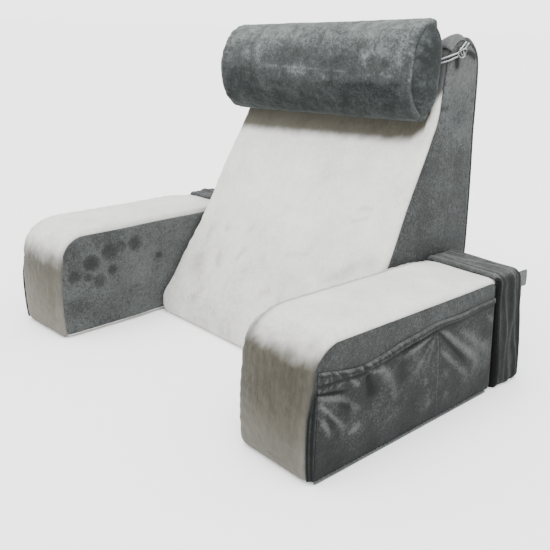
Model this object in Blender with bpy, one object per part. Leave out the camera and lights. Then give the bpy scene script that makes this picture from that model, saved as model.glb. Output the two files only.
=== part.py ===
"""Reading pillow with arms: a wedge backrest, a padded arm on each side of the seat, and a half-round neck roll.

Each cushion is one filled body with its sewn panels lying on it. A gathered band cinches the rear of each
arm, a patch pocket with a gathered hem lies on each arm's outer side, and cord ties hold the neck roll.

Units are metres and +Z is up. Seen from the front, +X is to the right and -Y points at the viewer. The
origin is the middle of the backrest's flat underside. "right" and "left" are the viewer's.
"""

import math

import bpy

# Driving dimensions
GAP = 0.0003  # between pieces that touch
CLOTH = 0.003  # plush panel with its backing
RIM = 0.0022  # a panel's thickness at its seam
SEAM_RADIUS = 0.008  # rounding where a panel meets its neighbour

ARM_WIDTH = 0.1455
ARM_HEIGHT = 0.2085
ARM_FRONT = -0.008
ARM_REAR = 0.530
ARM_FRONT_TOP_RADIUS = 0.056
ARM_REAR_TOP_RADIUS = 0.044
ARM_FOOT_RADIUS = 0.014
ARM_CROWN = 0.004  # swell of the strip that runs round an arm
ARM_SIDE_CROWN = 0.003  # swell of an arm's side panels
ARM_PINCH = 0.004  # how far the band draws an arm in

BAND_TOP = (0.427, 0.486)  # front and rear edge of the band on top of an arm
BAND_FOOT = (0.450, 0.521)  # the same at the floor
BAND_TOP_THICKNESS = 0.011
BAND_OUTER_THICKNESS = 0.012
BAND_INNER_THICKNESS = 0.0035

POCKET_FRONT = 0.004
POCKET_FOOT = 0.005
POCKET_CLOTH = 0.0025
POCKET_CLEARANCE = 0.0008  # between the pocket and the panel it lies on
POCKET_REAR_MARGIN = 0.0125  # between the pocket and the band
HEM_REAR_HEIGHT = 0.180  # top of the pocket next to the band
HEM_THICKNESS = 0.006
HEM_PUCKER = 0.0012
FOLD_DEPTH = 0.8  # share of a fold's height that the pocket lifts off the arm

BACK_CROWN = 0.004
TOP_SAG = 0.014  # the top edge sags this much between its two corners
TOP_CORNERS = (0.195, 0.229)  # the sag fades out between these distances from the middle
TIE_NOTCH = 0.006  # dip that the tie pulls into the backrest's top edge
TIE_Y = 0.1165

ROLL_ENDS = (-0.262, 0.2235)  # x of the neck roll's end seams
ROLL_CENTRE = (0.0425, 0.5170)  # y and z of the middle of its section
ROLL_FRONT_DEPTHS = (0.0630, 0.0560)  # at its left and its right end
ROLL_BACK_DEPTH = 0.0135
ROLL_HALF_HEIGHT = 0.0850
ROLL_LEAN = 0.02  # how far the section leans back for each metre of height
ROLL_RISE = 0.0195  # its right end is this much higher than its left end
ROLL_END_CROWN = 0.017
ROLL_SEAM_RADIUS = 0.006
ROLL_MIDDLE_Y = 0.0225
ROLL_CLEARANCE = 0.0007  # between the neck roll and the backrest

CORD_RADIUS = 0.0016
BINDING_CLOTH = 0.0030
BINDING_CLEARANCE = 0.0010  # between the binding and the rounded corner that it covers
BINDING_HEIGHTS = (0.0075, 0.0240, 0.0450, 0.0800, 0.1100, 0.1360)
TRIM_CLEARANCE = 0.0006  # between an arm's side and the binding and piping on it
PIPING_STATIONS = (0.006, 0.090, 0.170, 0.260, 0.340, 0.425)
FOOT_PIPING_RADIUS = 0.0020

# An arm's place: x and y of its front inner corner, turn about Z, +1 where its outer side faces +X, and how
# far the backrest presses its inner side in
ARMS = {
    "right": (0.2525, -0.3900, -0.0060, 1, 0.0000),
    "left": (-0.2447, -0.4098, 0.0490, -1, 0.0035),
}

# Backrest profile from the floor up: the front, with its nose and its knee, and the back
BACK_FRONT = (
    (-0.1740, 0.0000),
    (-0.1812, 0.0130),
    (-0.1830, 0.0330),
    (-0.1760, 0.0530),
    (-0.1590, 0.0760),
    (-0.1160, 0.1440),
    (-0.0710, 0.2120),
    (-0.0250, 0.3080),
    (0.0050, 0.3620),
    (0.0310, 0.4100),
    (0.0475, 0.4460),
    (0.0530, 0.4890),
    (0.0565, 0.5250),
    (0.0600, 0.5500),
)
BACK_TOP = ((0.0690, 0.5665), (0.0860, 0.5805), (0.1060, 0.5850), (0.1300, 0.5790), (0.1490, 0.5650))
BACK_REAR = (
    (0.1500, 0.0000),
    (0.1645, 0.0160),
    (0.1690, 0.0700),
    (0.1715, 0.1800),
    (0.1715, 0.3000),
    (0.1695, 0.4200),
    (0.1655, 0.5100),
    (0.1600, 0.5470),
)

# Stations across the backrest from its left seam (0) to its right seam (1)
BACK_STATIONS = (0.0, 0.04, 0.09, 0.3, 0.5, 0.7, 0.91, 0.96, 1.0)

# Half width of the backrest: height, left side, right side
BACK_HALF_WIDTHS = (
    (0.00, 0.2600, 0.2536),
    (0.10, 0.2585, 0.2534),
    (0.21, 0.2535, 0.2522),
    (0.31, 0.2465, 0.2480),
    (0.42, 0.2415, 0.2420),
    (0.60, 0.2395, 0.2400),
)

# How far an arm's front stands out at its outer seam: height, depth
FRONT_DEPTHS = (
    (0.0075, 0.0072),
    (0.0140, 0.0084),
    (0.0240, 0.0096),
    (0.0450, 0.0113),
    (0.0800, 0.0124),
    (0.1180, 0.0114),
    (0.1525, 0.0084),
)

# Folds of a pocket: start (y, z), end (y, z), rise, half width
POCKET_FOLDS = (
    (0.262, 0.150, 0.383, 0.070, 0.0032, 0.013),
    (0.282, 0.115, 0.360, 0.045, 0.0024, 0.011),
    (0.246, 0.150, 0.196, 0.070, 0.0026, 0.014),
    (0.006, 0.142, 0.052, 0.080, 0.0030, 0.010),
    (0.110, 0.145, 0.150, 0.070, 0.0022, 0.018),
    (0.400, 0.150, 0.335, 0.020, 0.0022, 0.016),
)

# Routes of the ties' strands: x, y, z. On the left the neck roll overhangs the backrest's side.
TIE_ROUTES = {
    "right_roll_upper": (
        (0.2298, 0.0508, 0.5440),
        (0.2360, 0.0545, 0.5470),
        (0.2413, 0.0640, 0.5510),
        (0.2421, 0.0785, 0.5545),
        (0.2422, 0.0912, 0.5570),
    ),
    "right_roll_lower": (
        (0.2296, 0.0507, 0.5375),
        (0.2358, 0.0548, 0.5405),
        (0.2415, 0.0655, 0.5443),
        (0.2423, 0.0785, 0.5483),
        (0.2423, 0.0925, 0.5518),
    ),
    "right_top_front": (
        (0.2432, 0.0962, 0.5640),
        (0.2424, 0.1015, 0.5682),
        (0.2422, 0.1065, 0.5718),
        (0.2419, 0.1100, 0.5745),
    ),
    "right_top_rear": (
        (0.2434, 0.1044, 0.5622),
        (0.2426, 0.1095, 0.5662),
        (0.2423, 0.1145, 0.5702),
        (0.2419, 0.1180, 0.5728),
    ),
    "left_roll_upper": (
        (-0.2685, 0.0515, 0.5300),
        (-0.2645, 0.0580, 0.5355),
        (-0.2505, 0.0655, 0.5430),
        (-0.2434, 0.0745, 0.5500),
        (-0.2418, 0.0907, 0.5565),
    ),
    "left_roll_lower": (
        (-0.2683, 0.0515, 0.5235),
        (-0.2645, 0.0585, 0.5295),
        (-0.2505, 0.0665, 0.5370),
        (-0.2435, 0.0760, 0.5440),
        (-0.2420, 0.0927, 0.5523),
    ),
    "left_top_front": (
        (-0.2432, 0.0962, 0.5640),
        (-0.2424, 0.1015, 0.5682),
        (-0.2422, 0.1065, 0.5718),
        (-0.2419, 0.1100, 0.5745),
    ),
    "left_top_rear": (
        (-0.2434, 0.1044, 0.5622),
        (-0.2426, 0.1095, 0.5662),
        (-0.2423, 0.1145, 0.5702),
        (-0.2419, 0.1180, 0.5728),
    ),
}
KNOT_CENTRE = (0.2442, 0.0985, 0.5575)
KNOT_RADII = (0.0042, 0.0070, 0.0052)
KNOT_SLANT = 0.0015  # how far the knot's rear end is above its middle

COLOURS = {
    "white_plush": (0.80, 0.80, 0.78),
    "grey_velour": (0.16, 0.18, 0.18),
    "dark_velour": (0.08, 0.095, 0.095),
    "cord": (0.50, 0.52, 0.52),
}


def clear_scene():
    for item in list(bpy.data.objects):
        bpy.data.objects.remove(item, do_unlink=True)


def make_material(name, colour, roughness):
    material = bpy.data.materials.new(name)
    material.use_nodes = True
    shader = material.node_tree.nodes["Principled BSDF"]
    shader.inputs["Base Color"].default_value = (*colour, 1.0)
    shader.inputs["Roughness"].default_value = roughness
    shader.inputs["Metallic"].default_value = 0.0
    return material


def smooth(value, low, high):
    """0 below low, 1 above high, and a soft step between them."""
    step = min(max((value - low) / (high - low), 0.0), 1.0)
    return step * step * (3 - 2 * step)


def between(table, key, column):
    """A table's column at this key, on straight lines between its rows."""
    for before, after in zip(table, table[1:]):
        if key <= after[0]:
            share = max(0.0, (key - before[0]) / (after[0] - before[0]))
            return before[column] + share * (after[column] - before[column])
    return table[-1][column]


def smooth_path(points, steps):
    """An open Catmull-Rom curve through points, both ends included."""
    ends = [points[0], *points, points[-1]]
    path = []
    for before, start, end, after in zip(ends, ends[1:], ends[2:], ends[3:]):
        for step in range(steps):
            t = step / steps
            path.append(tuple(catmull_rom(t, *values) for values in zip(before, start, end, after)))
    path.append(points[-1])
    return path


def catmull_rom(t, before, start, end, after):
    return 0.5 * (
        2 * start
        + (end - before) * t
        + (2 * before - 5 * start + 4 * end - after) * t**2
        + (3 * start - before - 3 * end + after) * t**3
    )


def arc(centre, radius, start, end, steps):
    """Points of an arc, its two ends included. Angles are in degrees."""
    turns = [math.radians(start + (end - start) * step / steps) for step in range(steps + 1)]
    return [(centre[0] + radius * math.cos(turn), centre[1] + radius * math.sin(turn)) for turn in turns]


def outward_normals(loop):
    """The unit normal at each point of a loop that runs clockwise when +y is right and +z is up."""
    normals = []
    for before, after in zip(loop[-1:] + loop[:-1], loop[1:] + loop[:1]):
        along = (after[0] - before[0], after[1] - before[1])
        length = math.hypot(*along)
        normals.append((-along[1] / length, along[0] / length))
    return normals


def diagonal(a, b):
    """Sorts a quad's two diagonals: the shorter first, and of two equal ones the one that climbs backwards."""
    return round(math.dist(a, b), 6), (b[1] - a[1]) * (b[2] - a[2]) < 0


def triangles(points, faces):
    """The faces as triangles, cut so that two surfaces that lie on each other get the same facets."""
    cut = []
    for face in faces:
        if len(face) == 3:
            cut.append(face)
            continue
        a, b, c, d = face
        if diagonal(points[a], points[c]) <= diagonal(points[b], points[d]):
            cut += [(a, b, c), (a, c, d)]
        else:
            cut += [(b, c, d), (b, d, a)]
    return cut


def add_object(name, points, faces, material):
    mesh = bpy.data.meshes.new(name)
    mesh.from_pydata(points, [], triangles(points, faces))
    mesh.validate()
    mesh.shade_smooth()
    mesh.set_sharp_from_angle(angle=math.radians(50))
    mesh.materials.append(material)
    item = bpy.data.objects.new(name, mesh)
    bpy.context.scene.collection.objects.link(item)
    return item


def lofted(name, rings, first, last, material):
    """A closed body through rings of equally many points, closed by fans to the points first and last."""
    count = len(rings[0])
    points = [point for ring in rings for point in ring] + [first, last]
    faces = []
    for index in range(count):
        following = (index + 1) % count
        faces.append((len(points) - 2, following, index))
        for row in range(0, (len(rings) - 1) * count, count):
            faces.append((row + index, row + following, row + count + following, row + count + index))
        end = (len(rings) - 1) * count
        faces.append((end + index, end + following, len(points) - 1))
    return add_object(name, points, outwards(points, faces), material)


def outwards(points, faces):
    """The faces, turned round if they enclose a negative volume."""
    volume = 0.0
    for face in faces:
        for second, third in zip(face[1:], face[2:]):
            (ax, ay, az), (bx, by, bz), (cx, cy, cz) = points[face[0]], points[second], points[third]
            volume += ax * (by * cz - bz * cy) + ay * (bz * cx - bx * cz) + az * (bx * cy - by * cx)
    return faces if volume > 0 else [face[::-1] for face in faces]


def sheet_faces(rows, columns):
    """Faces of a closed sheet whose points are an outer grid and then an inner grid of rows by columns."""
    inner = rows * columns
    faces = []
    for row in range(rows - 1):
        for column in range(columns - 1):
            a = row * columns + column
            quad = (a, a + 1, a + columns + 1, a + columns)
            faces.append(quad)
            faces.append(tuple(inner + corner for corner in quad[::-1]))
    top, left = range(columns), range(0, inner, columns)
    bottom, right = range(inner - columns, inner), range(columns - 1, inner, columns)
    for edge, turned in ((top, False), (right, False), (bottom, True), (left, True)):
        for start, end in zip(edge, edge[1:]):
            wall = (end, start, inner + start, inner + end)
            faces.append(wall[::-1] if turned else wall)
    return faces


def sheet(name, outer, inner, material):
    """A closed sheet between two grids of points, each a list of rows."""
    points = [point for row in outer + inner for point in row]
    return add_object(name, points, outwards(points, sheet_faces(len(outer), len(outer[0]))), material)


def hoop(name, sections, material):
    """A closed ring through sections, each a loop of equally many points."""
    count = len(sections[0])
    points = [point for section in sections for point in section]
    faces = []
    for row in range(len(sections)):
        following = (row + 1) % len(sections)
        for index in range(count):
            after = (index + 1) % count
            near, far = row * count, following * count
            faces.append((near + index, near + after, far + after, far + index))
    return add_object(name, points, outwards(points, faces), material)


def cord(name, path, radius, material):
    """A tube with closed ends along a path."""
    curve = bpy.data.curves.new(name, "CURVE")
    curve.dimensions = "3D"
    curve.bevel_depth = radius
    curve.bevel_resolution = 2
    curve.use_fill_caps = True
    spline = curve.splines.new("POLY")
    spline.points.add(len(path) - 1)
    for point, place in zip(spline.points, path):
        point.co = (*place, 1.0)
    curve.materials.append(material)
    item = bpy.data.objects.new(name, curve)
    bpy.context.scene.collection.objects.link(item)
    return item


def capped(name, low, rings, high, material):
    """A closed body: a patch of points at each end, and rings between their borders.

    A patch is a list of columns. Its border runs along the columns' first points, down the last column, back
    along the columns' last points and up the first column, and the rings' points run the same way.
    """
    columns, rows = len(low), len(low[0])
    border = [column * rows for column in range(columns)]
    border += [(columns - 1) * rows + row for row in range(1, rows - 1)]
    border += [column * rows + rows - 1 for column in reversed(range(columns))]
    border += [row for row in reversed(range(1, rows - 1))]
    count, patch = len(border), columns * rows
    points = [point for part in (*low, *rings, *high) for point in part]
    high_start = len(points) - patch
    faces = []
    for column in range(columns - 1):
        for row in range(rows - 1):
            a = column * rows + row
            quad = (a, a + 1, a + rows + 1, a + rows)
            faces.append(quad)
            faces.append(tuple(high_start + corner for corner in quad[::-1]))
    loops = [border]
    loops += [list(range(patch + start * count, patch + (start + 1) * count)) for start in range(len(rings))]
    loops.append([high_start + corner for corner in border])
    for near, far in zip(loops, loops[1:]):
        for index in range(count):
            after = (index + 1) % count
            faces.append((near[index], near[after], far[after], far[index]))
    return add_object(name, points, outwards(points, faces), material)


class Cushion:
    """A filled body between two side faces, with rounded seams and a swelling strip round its edge.

    upper and lower are the two long stretches of its side outline in y and z, each from front to rear or
    from foot to top, and first and last are the points between their ends, from lower to upper and from
    upper to lower. low and high give the across coordinate of the sewn cushion's side faces at (y, z), and
    crown(y, z) is how far the strip swells. Points are (across, y, z).
    """

    def __init__(self, upper, last, lower, first, faces, crown):
        self.columns = len(upper)
        self.loop = [*upper, *last, *reversed(lower), *first]
        self.normals = outward_normals(self.loop)
        self.rows = len(last) + 2
        self.low, self.high = faces
        self.crown = crown

    def place(self, index, lift):
        """Outline point, moved out along its normal and kept off the floor."""
        (y, z), (out_y, out_z) = self.loop[index], self.normals[index]
        return y + lift * out_y, max(z + lift * out_z, 0.0)

    def face(self, side, y, z, depth):
        """Across coordinate of a side face, this deep under the panel's outer surface."""
        return self.low(y, z) + depth if side < 0 else self.high(y, z) - depth

    def strip_point(self, index, across, lift=0.0):
        """Point on the edge strip: across runs 0 to 1 between the seams, to -1 or 2 over the rounded seams."""
        panel = CLOTH + GAP
        if 0 <= across <= 1:
            y, z = self.place(index, 0.0)
            swell = self.crown(y, z) * (1 - (2 * across - 1) ** 2)
            y, z = self.place(index, swell + lift)
            start = self.face(-1, y, z, panel + SEAM_RADIUS)
            end = self.face(1, y, z, panel + SEAM_RADIUS)
            return start + across * (end - start), y, z
        side, turn = (-1, -across) if across < 0 else (1, across - 1)
        angle = turn * math.pi / 2
        radius = SEAM_RADIUS + lift
        y, z = self.place(index, radius * math.cos(angle) - SEAM_RADIUS)
        return self.face(side, y, z, panel + SEAM_RADIUS - radius * math.sin(angle)), y, z

    def side_patch(self, side, depth):
        """The side face as columns of points between the upper and the lower stretch of its seam."""
        seam = [self.place(index, -SEAM_RADIUS) for index in range(len(self.loop))]
        upper = seam[: self.columns]
        last = seam[self.columns : self.columns + self.rows - 2]
        lower = seam[self.columns + self.rows - 2 : 2 * self.columns + self.rows - 2][::-1]
        first = seam[2 * self.columns + self.rows - 2 :][::-1]
        patch = []
        for column, (top, foot) in enumerate(zip(upper, lower)):
            inside = []
            for row in range(1, self.rows - 1):
                share = row / (self.rows - 1)
                inside.append(tuple(a + share * (b - a) for a, b in zip(top, foot)))
            if column == 0:
                inside = first
            if column == self.columns - 1:
                inside = last
            patch.append([(self.face(side, y, z, depth), y, z) for y, z in (top, *inside, foot)])
        return patch

    def core(self, strip):
        """Patches and rings of the filled body, from the low side to the high one."""
        rings = []
        for across in (-0.5, *strip, 1.5):
            rings.append([self.strip_point(index, across) for index in range(len(self.loop))])
        return self.side_patch(-1, CLOTH + GAP), rings, self.side_patch(1, CLOTH + GAP)

    def panel(self, side):
        """A side panel's outer patch, its rim at the seam, and its inner patch. It thins to its rim."""
        outer = self.side_patch(side, 0.0)
        edge = self.side_patch(side, CLOTH - RIM)
        outer[0], outer[-1] = edge[0], edge[-1]
        for column, edge_column in zip(outer, edge):
            column[0], column[-1] = edge_column[0], edge_column[-1]
        return outer, [], self.side_patch(side, CLOTH)


def spaced(points, count):
    """This many points at even steps of the parameter along a smooth open curve through points."""
    path = smooth_path(points, 8)
    step = (len(path) - 1) / (count - 1)
    return [path[round(index * step)] for index in range(count)]


def arm_outline():
    """Side outline of an arm in y and z, with y counted back from its front: upper, last, lower and first."""
    foot, top, rear = ARM_FOOT_RADIUS, ARM_FRONT_TOP_RADIUS, ARM_REAR_TOP_RADIUS
    band_top, band_foot = BAND_TOP[0], BAND_FOOT[0]
    upper = arc((ARM_FRONT + top, ARM_HEIGHT - top), top, 180, 90, 5)
    level = (0.12, 0.20, 0.28, 0.35, band_top - 0.012, band_top - 0.003, 0.458)
    upper += [(y, ARM_HEIGHT) for y in level]
    upper += arc((ARM_REAR - rear, ARM_HEIGHT - rear), rear, 90, 0, 3)
    lower = arc((ARM_FRONT + foot, foot), foot, -180, -90, 2)
    level = (0.018, 0.032, 0.055, 0.12, 0.20, 0.28, 0.36, band_foot - 0.012, band_foot - 0.003, 0.48, 0.498)
    lower += [(y, 0.0) for y in level]
    lower += arc((ARM_REAR - foot, foot), foot, -90, 0, 2)
    last = [(ARM_REAR + 0.001, z) for z in (0.140, 0.095, 0.050)]
    first = [(ARM_FRONT - bulge, z) for bulge, z in ((0.003, 0.045), (0.004, 0.080), (0.003, 0.118))]
    return upper, last, lower, first


def band_edge(index, z):
    """The band's front (0) or rear (1) edge at this height: it leans back towards the floor."""
    share = min(max(1 - z / ARM_HEIGHT, 0.0), 1.0)
    return BAND_TOP[index] + share * (BAND_FOOT[index] - BAND_TOP[index])


def pinch(y, z):
    """How far the band draws the arm in at this place."""
    edge = band_edge(0, z)
    return ARM_PINCH * smooth(y, edge - 0.013, edge - 0.005)


def mid_height(z):
    """1 half way up an arm, 0 at the floor and at its top."""
    return math.sin(math.pi * min(max(z / ARM_HEIGHT, 0.0), 1.0))


def inner_face(y, z, press):
    """An arm's side next to the seat: it swells in front of the backrest, where nothing presses on it."""
    swell = smooth(y, 0.0, 0.05) * (1 - smooth(y, 0.12, 0.19)) * mid_height(z)
    return max(pinch(y, z), press * smooth(y, 0.16, 0.22)) - ARM_SIDE_CROWN * swell


def outer_face(y, z):
    swell = smooth(y, 0.0, 0.10) * (1 - smooth(y, 0.32, 0.41)) * mid_height(z)
    return ARM_WIDTH - pinch(y, z) + ARM_SIDE_CROWN * swell


def arm_crown(y, z):
    """The front and the top swell a little, up to the band."""
    return ARM_CROWN * (1 - smooth(y, 0.35, 0.41)) * smooth(z, 0.01, 0.04)


def arm_cushion(press):
    """The arm in its own frame: across from its inner side, y from its front, z from the floor."""
    outline = []
    for stretch, out_z in zip(arm_outline(), (1, 0, -1, 0)):
        outline.append([(y, z - pinch(y, z) * out_z) for y, z in stretch])
    return Cushion(*outline, (lambda y, z: inner_face(y, z, press), outer_face), arm_crown)


def back_side(side):
    """The backrest's side face: its half width at each height."""
    return lambda y, z: side * between(BACK_HALF_WIDTHS, z, 1 if side < 0 else 2)


def back_crown(y, z):
    """The front panel swells below the neck roll, and the back a little less. The underside is flat."""
    front = (1 - smooth(y, 0.0, 0.05)) * (1 - smooth(z, 0.34, 0.42)) * smooth(z, 0.02, 0.08)
    rear = 0.6 * smooth(y, 0.14, 0.16) * smooth(z, 0.03, 0.10) * (1 - smooth(z, 0.50, 0.56))
    return BACK_CROWN * max(front, rear)


def back_cushion():
    front = smooth_path(BACK_FRONT, 2)
    front = [(y, max(z, 0.0)) for y, z in front]
    rear = [(y, max(z, 0.0)) for y, z in spaced(BACK_REAR, len(front))]
    width = BACK_REAR[0][0] - BACK_FRONT[0][0]
    steps = len(BACK_TOP) + 1
    underside = [(BACK_REAR[0][0] - width * step / steps, 0.0) for step in range(1, steps)]
    return Cushion(front, BACK_TOP, rear, underside, (back_side(-1), back_side(1)), back_crown)


def notched(point):
    """A point of the backrest, lowered where the ties pull at a top corner and where the top sags between."""
    x, y, z = point
    dip = TIE_NOTCH * math.exp(-(((y - TIE_Y) / 0.008) ** 2)) * smooth(abs(x), *TOP_CORNERS)
    dip += TOP_SAG * (1 - smooth(abs(x), *TOP_CORNERS))
    return x, y, z - dip * smooth(z, 0.545, 0.575)


def place_arm(name, item):
    x, y, turn = ARMS[name][:3]
    item.location = (x, y, 0.0)
    item.rotation_euler = (0.0, 0.0, turn)
    return item


def arm_points(name, points):
    """Points of an arm's own frame as (x, y, z) of its objects, with its outer side facing out."""
    outward = ARMS[name][3]
    return [(outward * across, y, z) for across, y, z in points]


def make_arm(name, white, grey):
    body = arm_cushion(ARMS[name][4])
    parts = [(f"arm_{name}", body.core((0, 0.25, 0.5, 0.75, 1)), white)]
    parts.append((f"arm_{name}_panel_inner", body.panel(-1), grey))
    parts.append((f"arm_{name}_panel_outer", body.panel(1), grey))
    for node, layers, material in parts:
        low, rings, high = ([arm_points(name, row) for row in layer] for layer in layers)
        place_arm(name, capped(node, low, rings, high, material))


def band_loop():
    """The band's path round an arm in across and z: points and outward normals of a rounded rectangle."""
    low, high = ARM_PINCH - GAP, ARM_WIDTH - ARM_PINCH + GAP
    foot, top = ARM_PINCH - GAP, ARM_HEIGHT - ARM_PINCH + GAP
    corner = SEAM_RADIUS
    loop = arc((low + corner, foot + corner), corner, 270, 180, 3)
    loop += [(low, 0.07), (low, 0.14)]
    loop += arc((low + corner, top - corner), corner, 180, 90, 3)
    loop += [(0.045, top), (0.075, top), (0.105, top)]
    loop += arc((high - corner, top - corner), corner, 90, 0, 3)
    loop += [(high, 0.16), (high, 0.11), (high, 0.06)]
    loop += arc((high - corner, foot + corner), corner, 0, -90, 3)
    loop += [(0.100, foot), (0.045, foot)]
    return loop


def band_thickness(out_x, out_z):
    """Puffed on top and on the outer side, pressed flat next to the backrest and on the floor."""
    sideways = BAND_OUTER_THICKNESS if out_x > 0 else BAND_INNER_THICKNESS
    upright = BAND_TOP_THICKNESS if out_z > 0 else ARM_PINCH - GAP
    return sideways * out_x**2 + upright * out_z**2


# Ridges of the gathered band: share of its width, share of its thickness
BAND_RIDGES = (
    (0.0, 0.40),
    (0.08, 0.92),
    (0.26, 1.0),
    (0.42, 0.70),
    (0.60, 1.0),
    (0.76, 0.82),
    (0.92, 0.96),
    (1.0, 0.45),
)

# Shape of the band's loose end: distance behind the band, and the heights of its lower and upper edge
BAND_END = ((0.0008, 0.181, 0.206), (0.0085, 0.179, 0.208), (0.0170, 0.181, 0.209), (0.0240, 0.184, 0.207))
BAND_END_FLARE = 0.35  # how far it stands off for each metre that it runs back


def make_band(name, material):
    loop = band_loop()
    sections = []
    for (across, z), (out_x, out_z) in zip(loop, outward_normals(loop)):
        if out_z < -0.99:
            z = ARM_PINCH - GAP
        thickness = band_thickness(out_x, out_z)
        flat = max(smooth(-out_z, 0.3, 0.9), smooth(-out_x, 0.3, 0.9))
        outer = []
        inner = []
        for width_share, thickness_share in BAND_RIDGES:
            lift = thickness * (thickness_share + flat * (1 - thickness_share))
            y = band_edge(0, z) + width_share * (band_edge(1, z) - band_edge(0, z))
            outer.append((across + lift * out_x, y, max(z + lift * out_z, 0.0)))
            inner.append((across, y, z))
        sections.append(arm_points(name, outer + inner[::-1]))
    return place_arm(name, hoop(f"band_{name}", sections, material))


def make_band_end(material):
    """The strap's loose end, a short tab behind the band's upper rear edge."""
    outer = []
    inner = []
    for back, z_low, z_high in BAND_END:
        across = ARM_WIDTH - 0.0015 + BAND_END_FLARE * back
        outer.append([])
        inner.append([])
        for z in (z_low, 0.5 * (z_low + z_high), z_high):
            y = band_edge(1, z) + back
            outer[-1].append((across + CLOTH, y, z))
            inner[-1].append((across, y, z))
    grids = [[arm_points("right", row) for row in grid] for grid in (outer, inner)]
    return place_arm("right", sheet("band_right_end", *grids, material))


def hem_height(y):
    """Top of the pocket's gathered hem: high at the front and the rear, with a sag between."""
    return 0.163 + 0.012 * (1 - smooth(y, 0.0, 0.06)) + 0.017 * smooth(y, 0.17, 0.42)


def fold_height(y, z):
    """How far the pocket's soft folds stand out."""
    height = 0.0
    for start_y, start_z, end_y, end_z, rise, half_width in POCKET_FOLDS:
        run = (end_y - start_y, end_z - start_z)
        length = math.hypot(*run)
        along = ((y - start_y) * run[0] + (z - start_z) * run[1]) / length**2
        aside = abs((y - start_y) * run[1] - (z - start_z) * run[0]) / length
        taper = smooth(along, -0.15, 0.15) * (1 - smooth(along, 0.7, 1.15))
        height += rise * taper * math.exp(-((aside / half_width) ** 2))
    return height


def make_pocket(name, material):
    columns = 22
    heights = (0.0, 0.10, 0.22, 0.34, 0.46, 0.58, 0.70, 0.80, 0.88, 0.91, 0.955, 0.99, 1.0)
    outer = []
    inner = []
    for share in heights:
        outer.append([])
        inner.append([])
        for column in range(columns):
            end = band_edge(0, POCKET_FOOT + share * (HEM_REAR_HEIGHT - POCKET_FOOT)) - POCKET_REAR_MARGIN
            y = POCKET_FRONT + column / (columns - 1) * (end - POCKET_FRONT)
            z = POCKET_FOOT + share * (hem_height(y) - POCKET_FOOT)
            edge = smooth(min(y - POCKET_FRONT, end - y, z - POCKET_FOOT), 0.0, 0.012)
            folds = fold_height(y, z) * edge * (1 - smooth(share, 0.80, 0.90))
            hem = smooth(share, 0.88, 0.93) * (1 - 0.5 * smooth(share, 0.98, 1.0))
            pucker = HEM_PUCKER * math.sin(column * 2.4) * hem
            lift = POCKET_CLOTH * (0.5 + 0.5 * edge) + (HEM_THICKNESS - POCKET_CLOTH) * hem + pucker
            across = outer_face(y, z) + POCKET_CLEARANCE + FOLD_DEPTH * folds
            inner[-1].append((across, y, z))
            outer[-1].append((across + lift, y, z))
    outer = [arm_points(name, row) for row in outer]
    inner = [arm_points(name, row) for row in inner]
    return place_arm(name, sheet(f"pocket_{name}", outer, inner, material))


def corner_depth(z):
    """How far the arm's front stands out in front of its own zero at this height."""
    return between(FRONT_DEPTHS, z, 1)


def binding_section(z, lift):
    """The binding's section in across and y: round the arm's front outer corner, then along its side."""
    centre = (ARM_WIDTH - CLOTH - GAP - SEAM_RADIUS, SEAM_RADIUS - corner_depth(z))
    radius = SEAM_RADIUS + BINDING_CLEARANCE + lift
    section = []
    for angle in (35, 55):
        turn = math.radians(angle)
        section.append((centre[0] + radius * math.sin(turn), centre[1] - radius * math.cos(turn)))
    end = POCKET_FRONT - 2 * GAP
    for y in (centre[1] - 0.0010, 0.5 * (centre[1] + end), end):
        section.append((ARM_WIDTH + TRIM_CLEARANCE + lift, y))
    return section


def make_pocket_edges(name, dark, grey):
    """A folded binding down the arm's front outer corner, and thin piping along the pocket's foot."""
    outer = []
    inner = []
    for z in BINDING_HEIGHTS:
        outer.append([(across, y, z) for across, y in binding_section(z, BINDING_CLOTH)])
        inner.append([(across, y, z) for across, y in binding_section(z, 0.0)])
    grids = [[arm_points(name, row) for row in grid] for grid in (outer, inner)]
    place_arm(name, sheet(f"binding_{name}", *grids, dark))
    level = FOOT_PIPING_RADIUS + GAP
    piping = [(ARM_WIDTH + TRIM_CLEARANCE + FOOT_PIPING_RADIUS, y, level) for y in PIPING_STATIONS]
    path = arm_points(name, smooth_path(piping, 2))
    place_arm(name, cord(f"piping_{name}", path, FOOT_PIPING_RADIUS, grey))


def make_backrest(white, grey):
    body = back_cushion()
    parts = [("backrest", body.core(BACK_STATIONS), white)]
    parts.append(("backrest_panel_left", body.panel(-1), grey))
    parts.append(("backrest_panel_right", body.panel(1), grey))
    for node, layers, material in parts:
        low, rings, high = ([[notched(point) for point in row] for row in layer] for layer in layers)
        capped(node, low, rings, high, material)
    rear = [index for index, (y, z) in enumerate(body.loop) if y > 0.065 and z > 0.012]
    across = (-0.94, -0.5, *BACK_STATIONS, 1.5, 1.94)
    grids = []
    for lift in (GAP + CLOTH, GAP):
        grids.append([[notched(body.strip_point(index, share, lift)) for share in across] for index in rear])
    sheet("backrest_panel_back", *grids, grey)


def front_of_backrest(z):
    """The front panel's y at this height, under the neck roll."""
    heights = [(height, y) for y, height in smooth_path(BACK_FRONT, 2)]
    return between(heights, z, 1)


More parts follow.
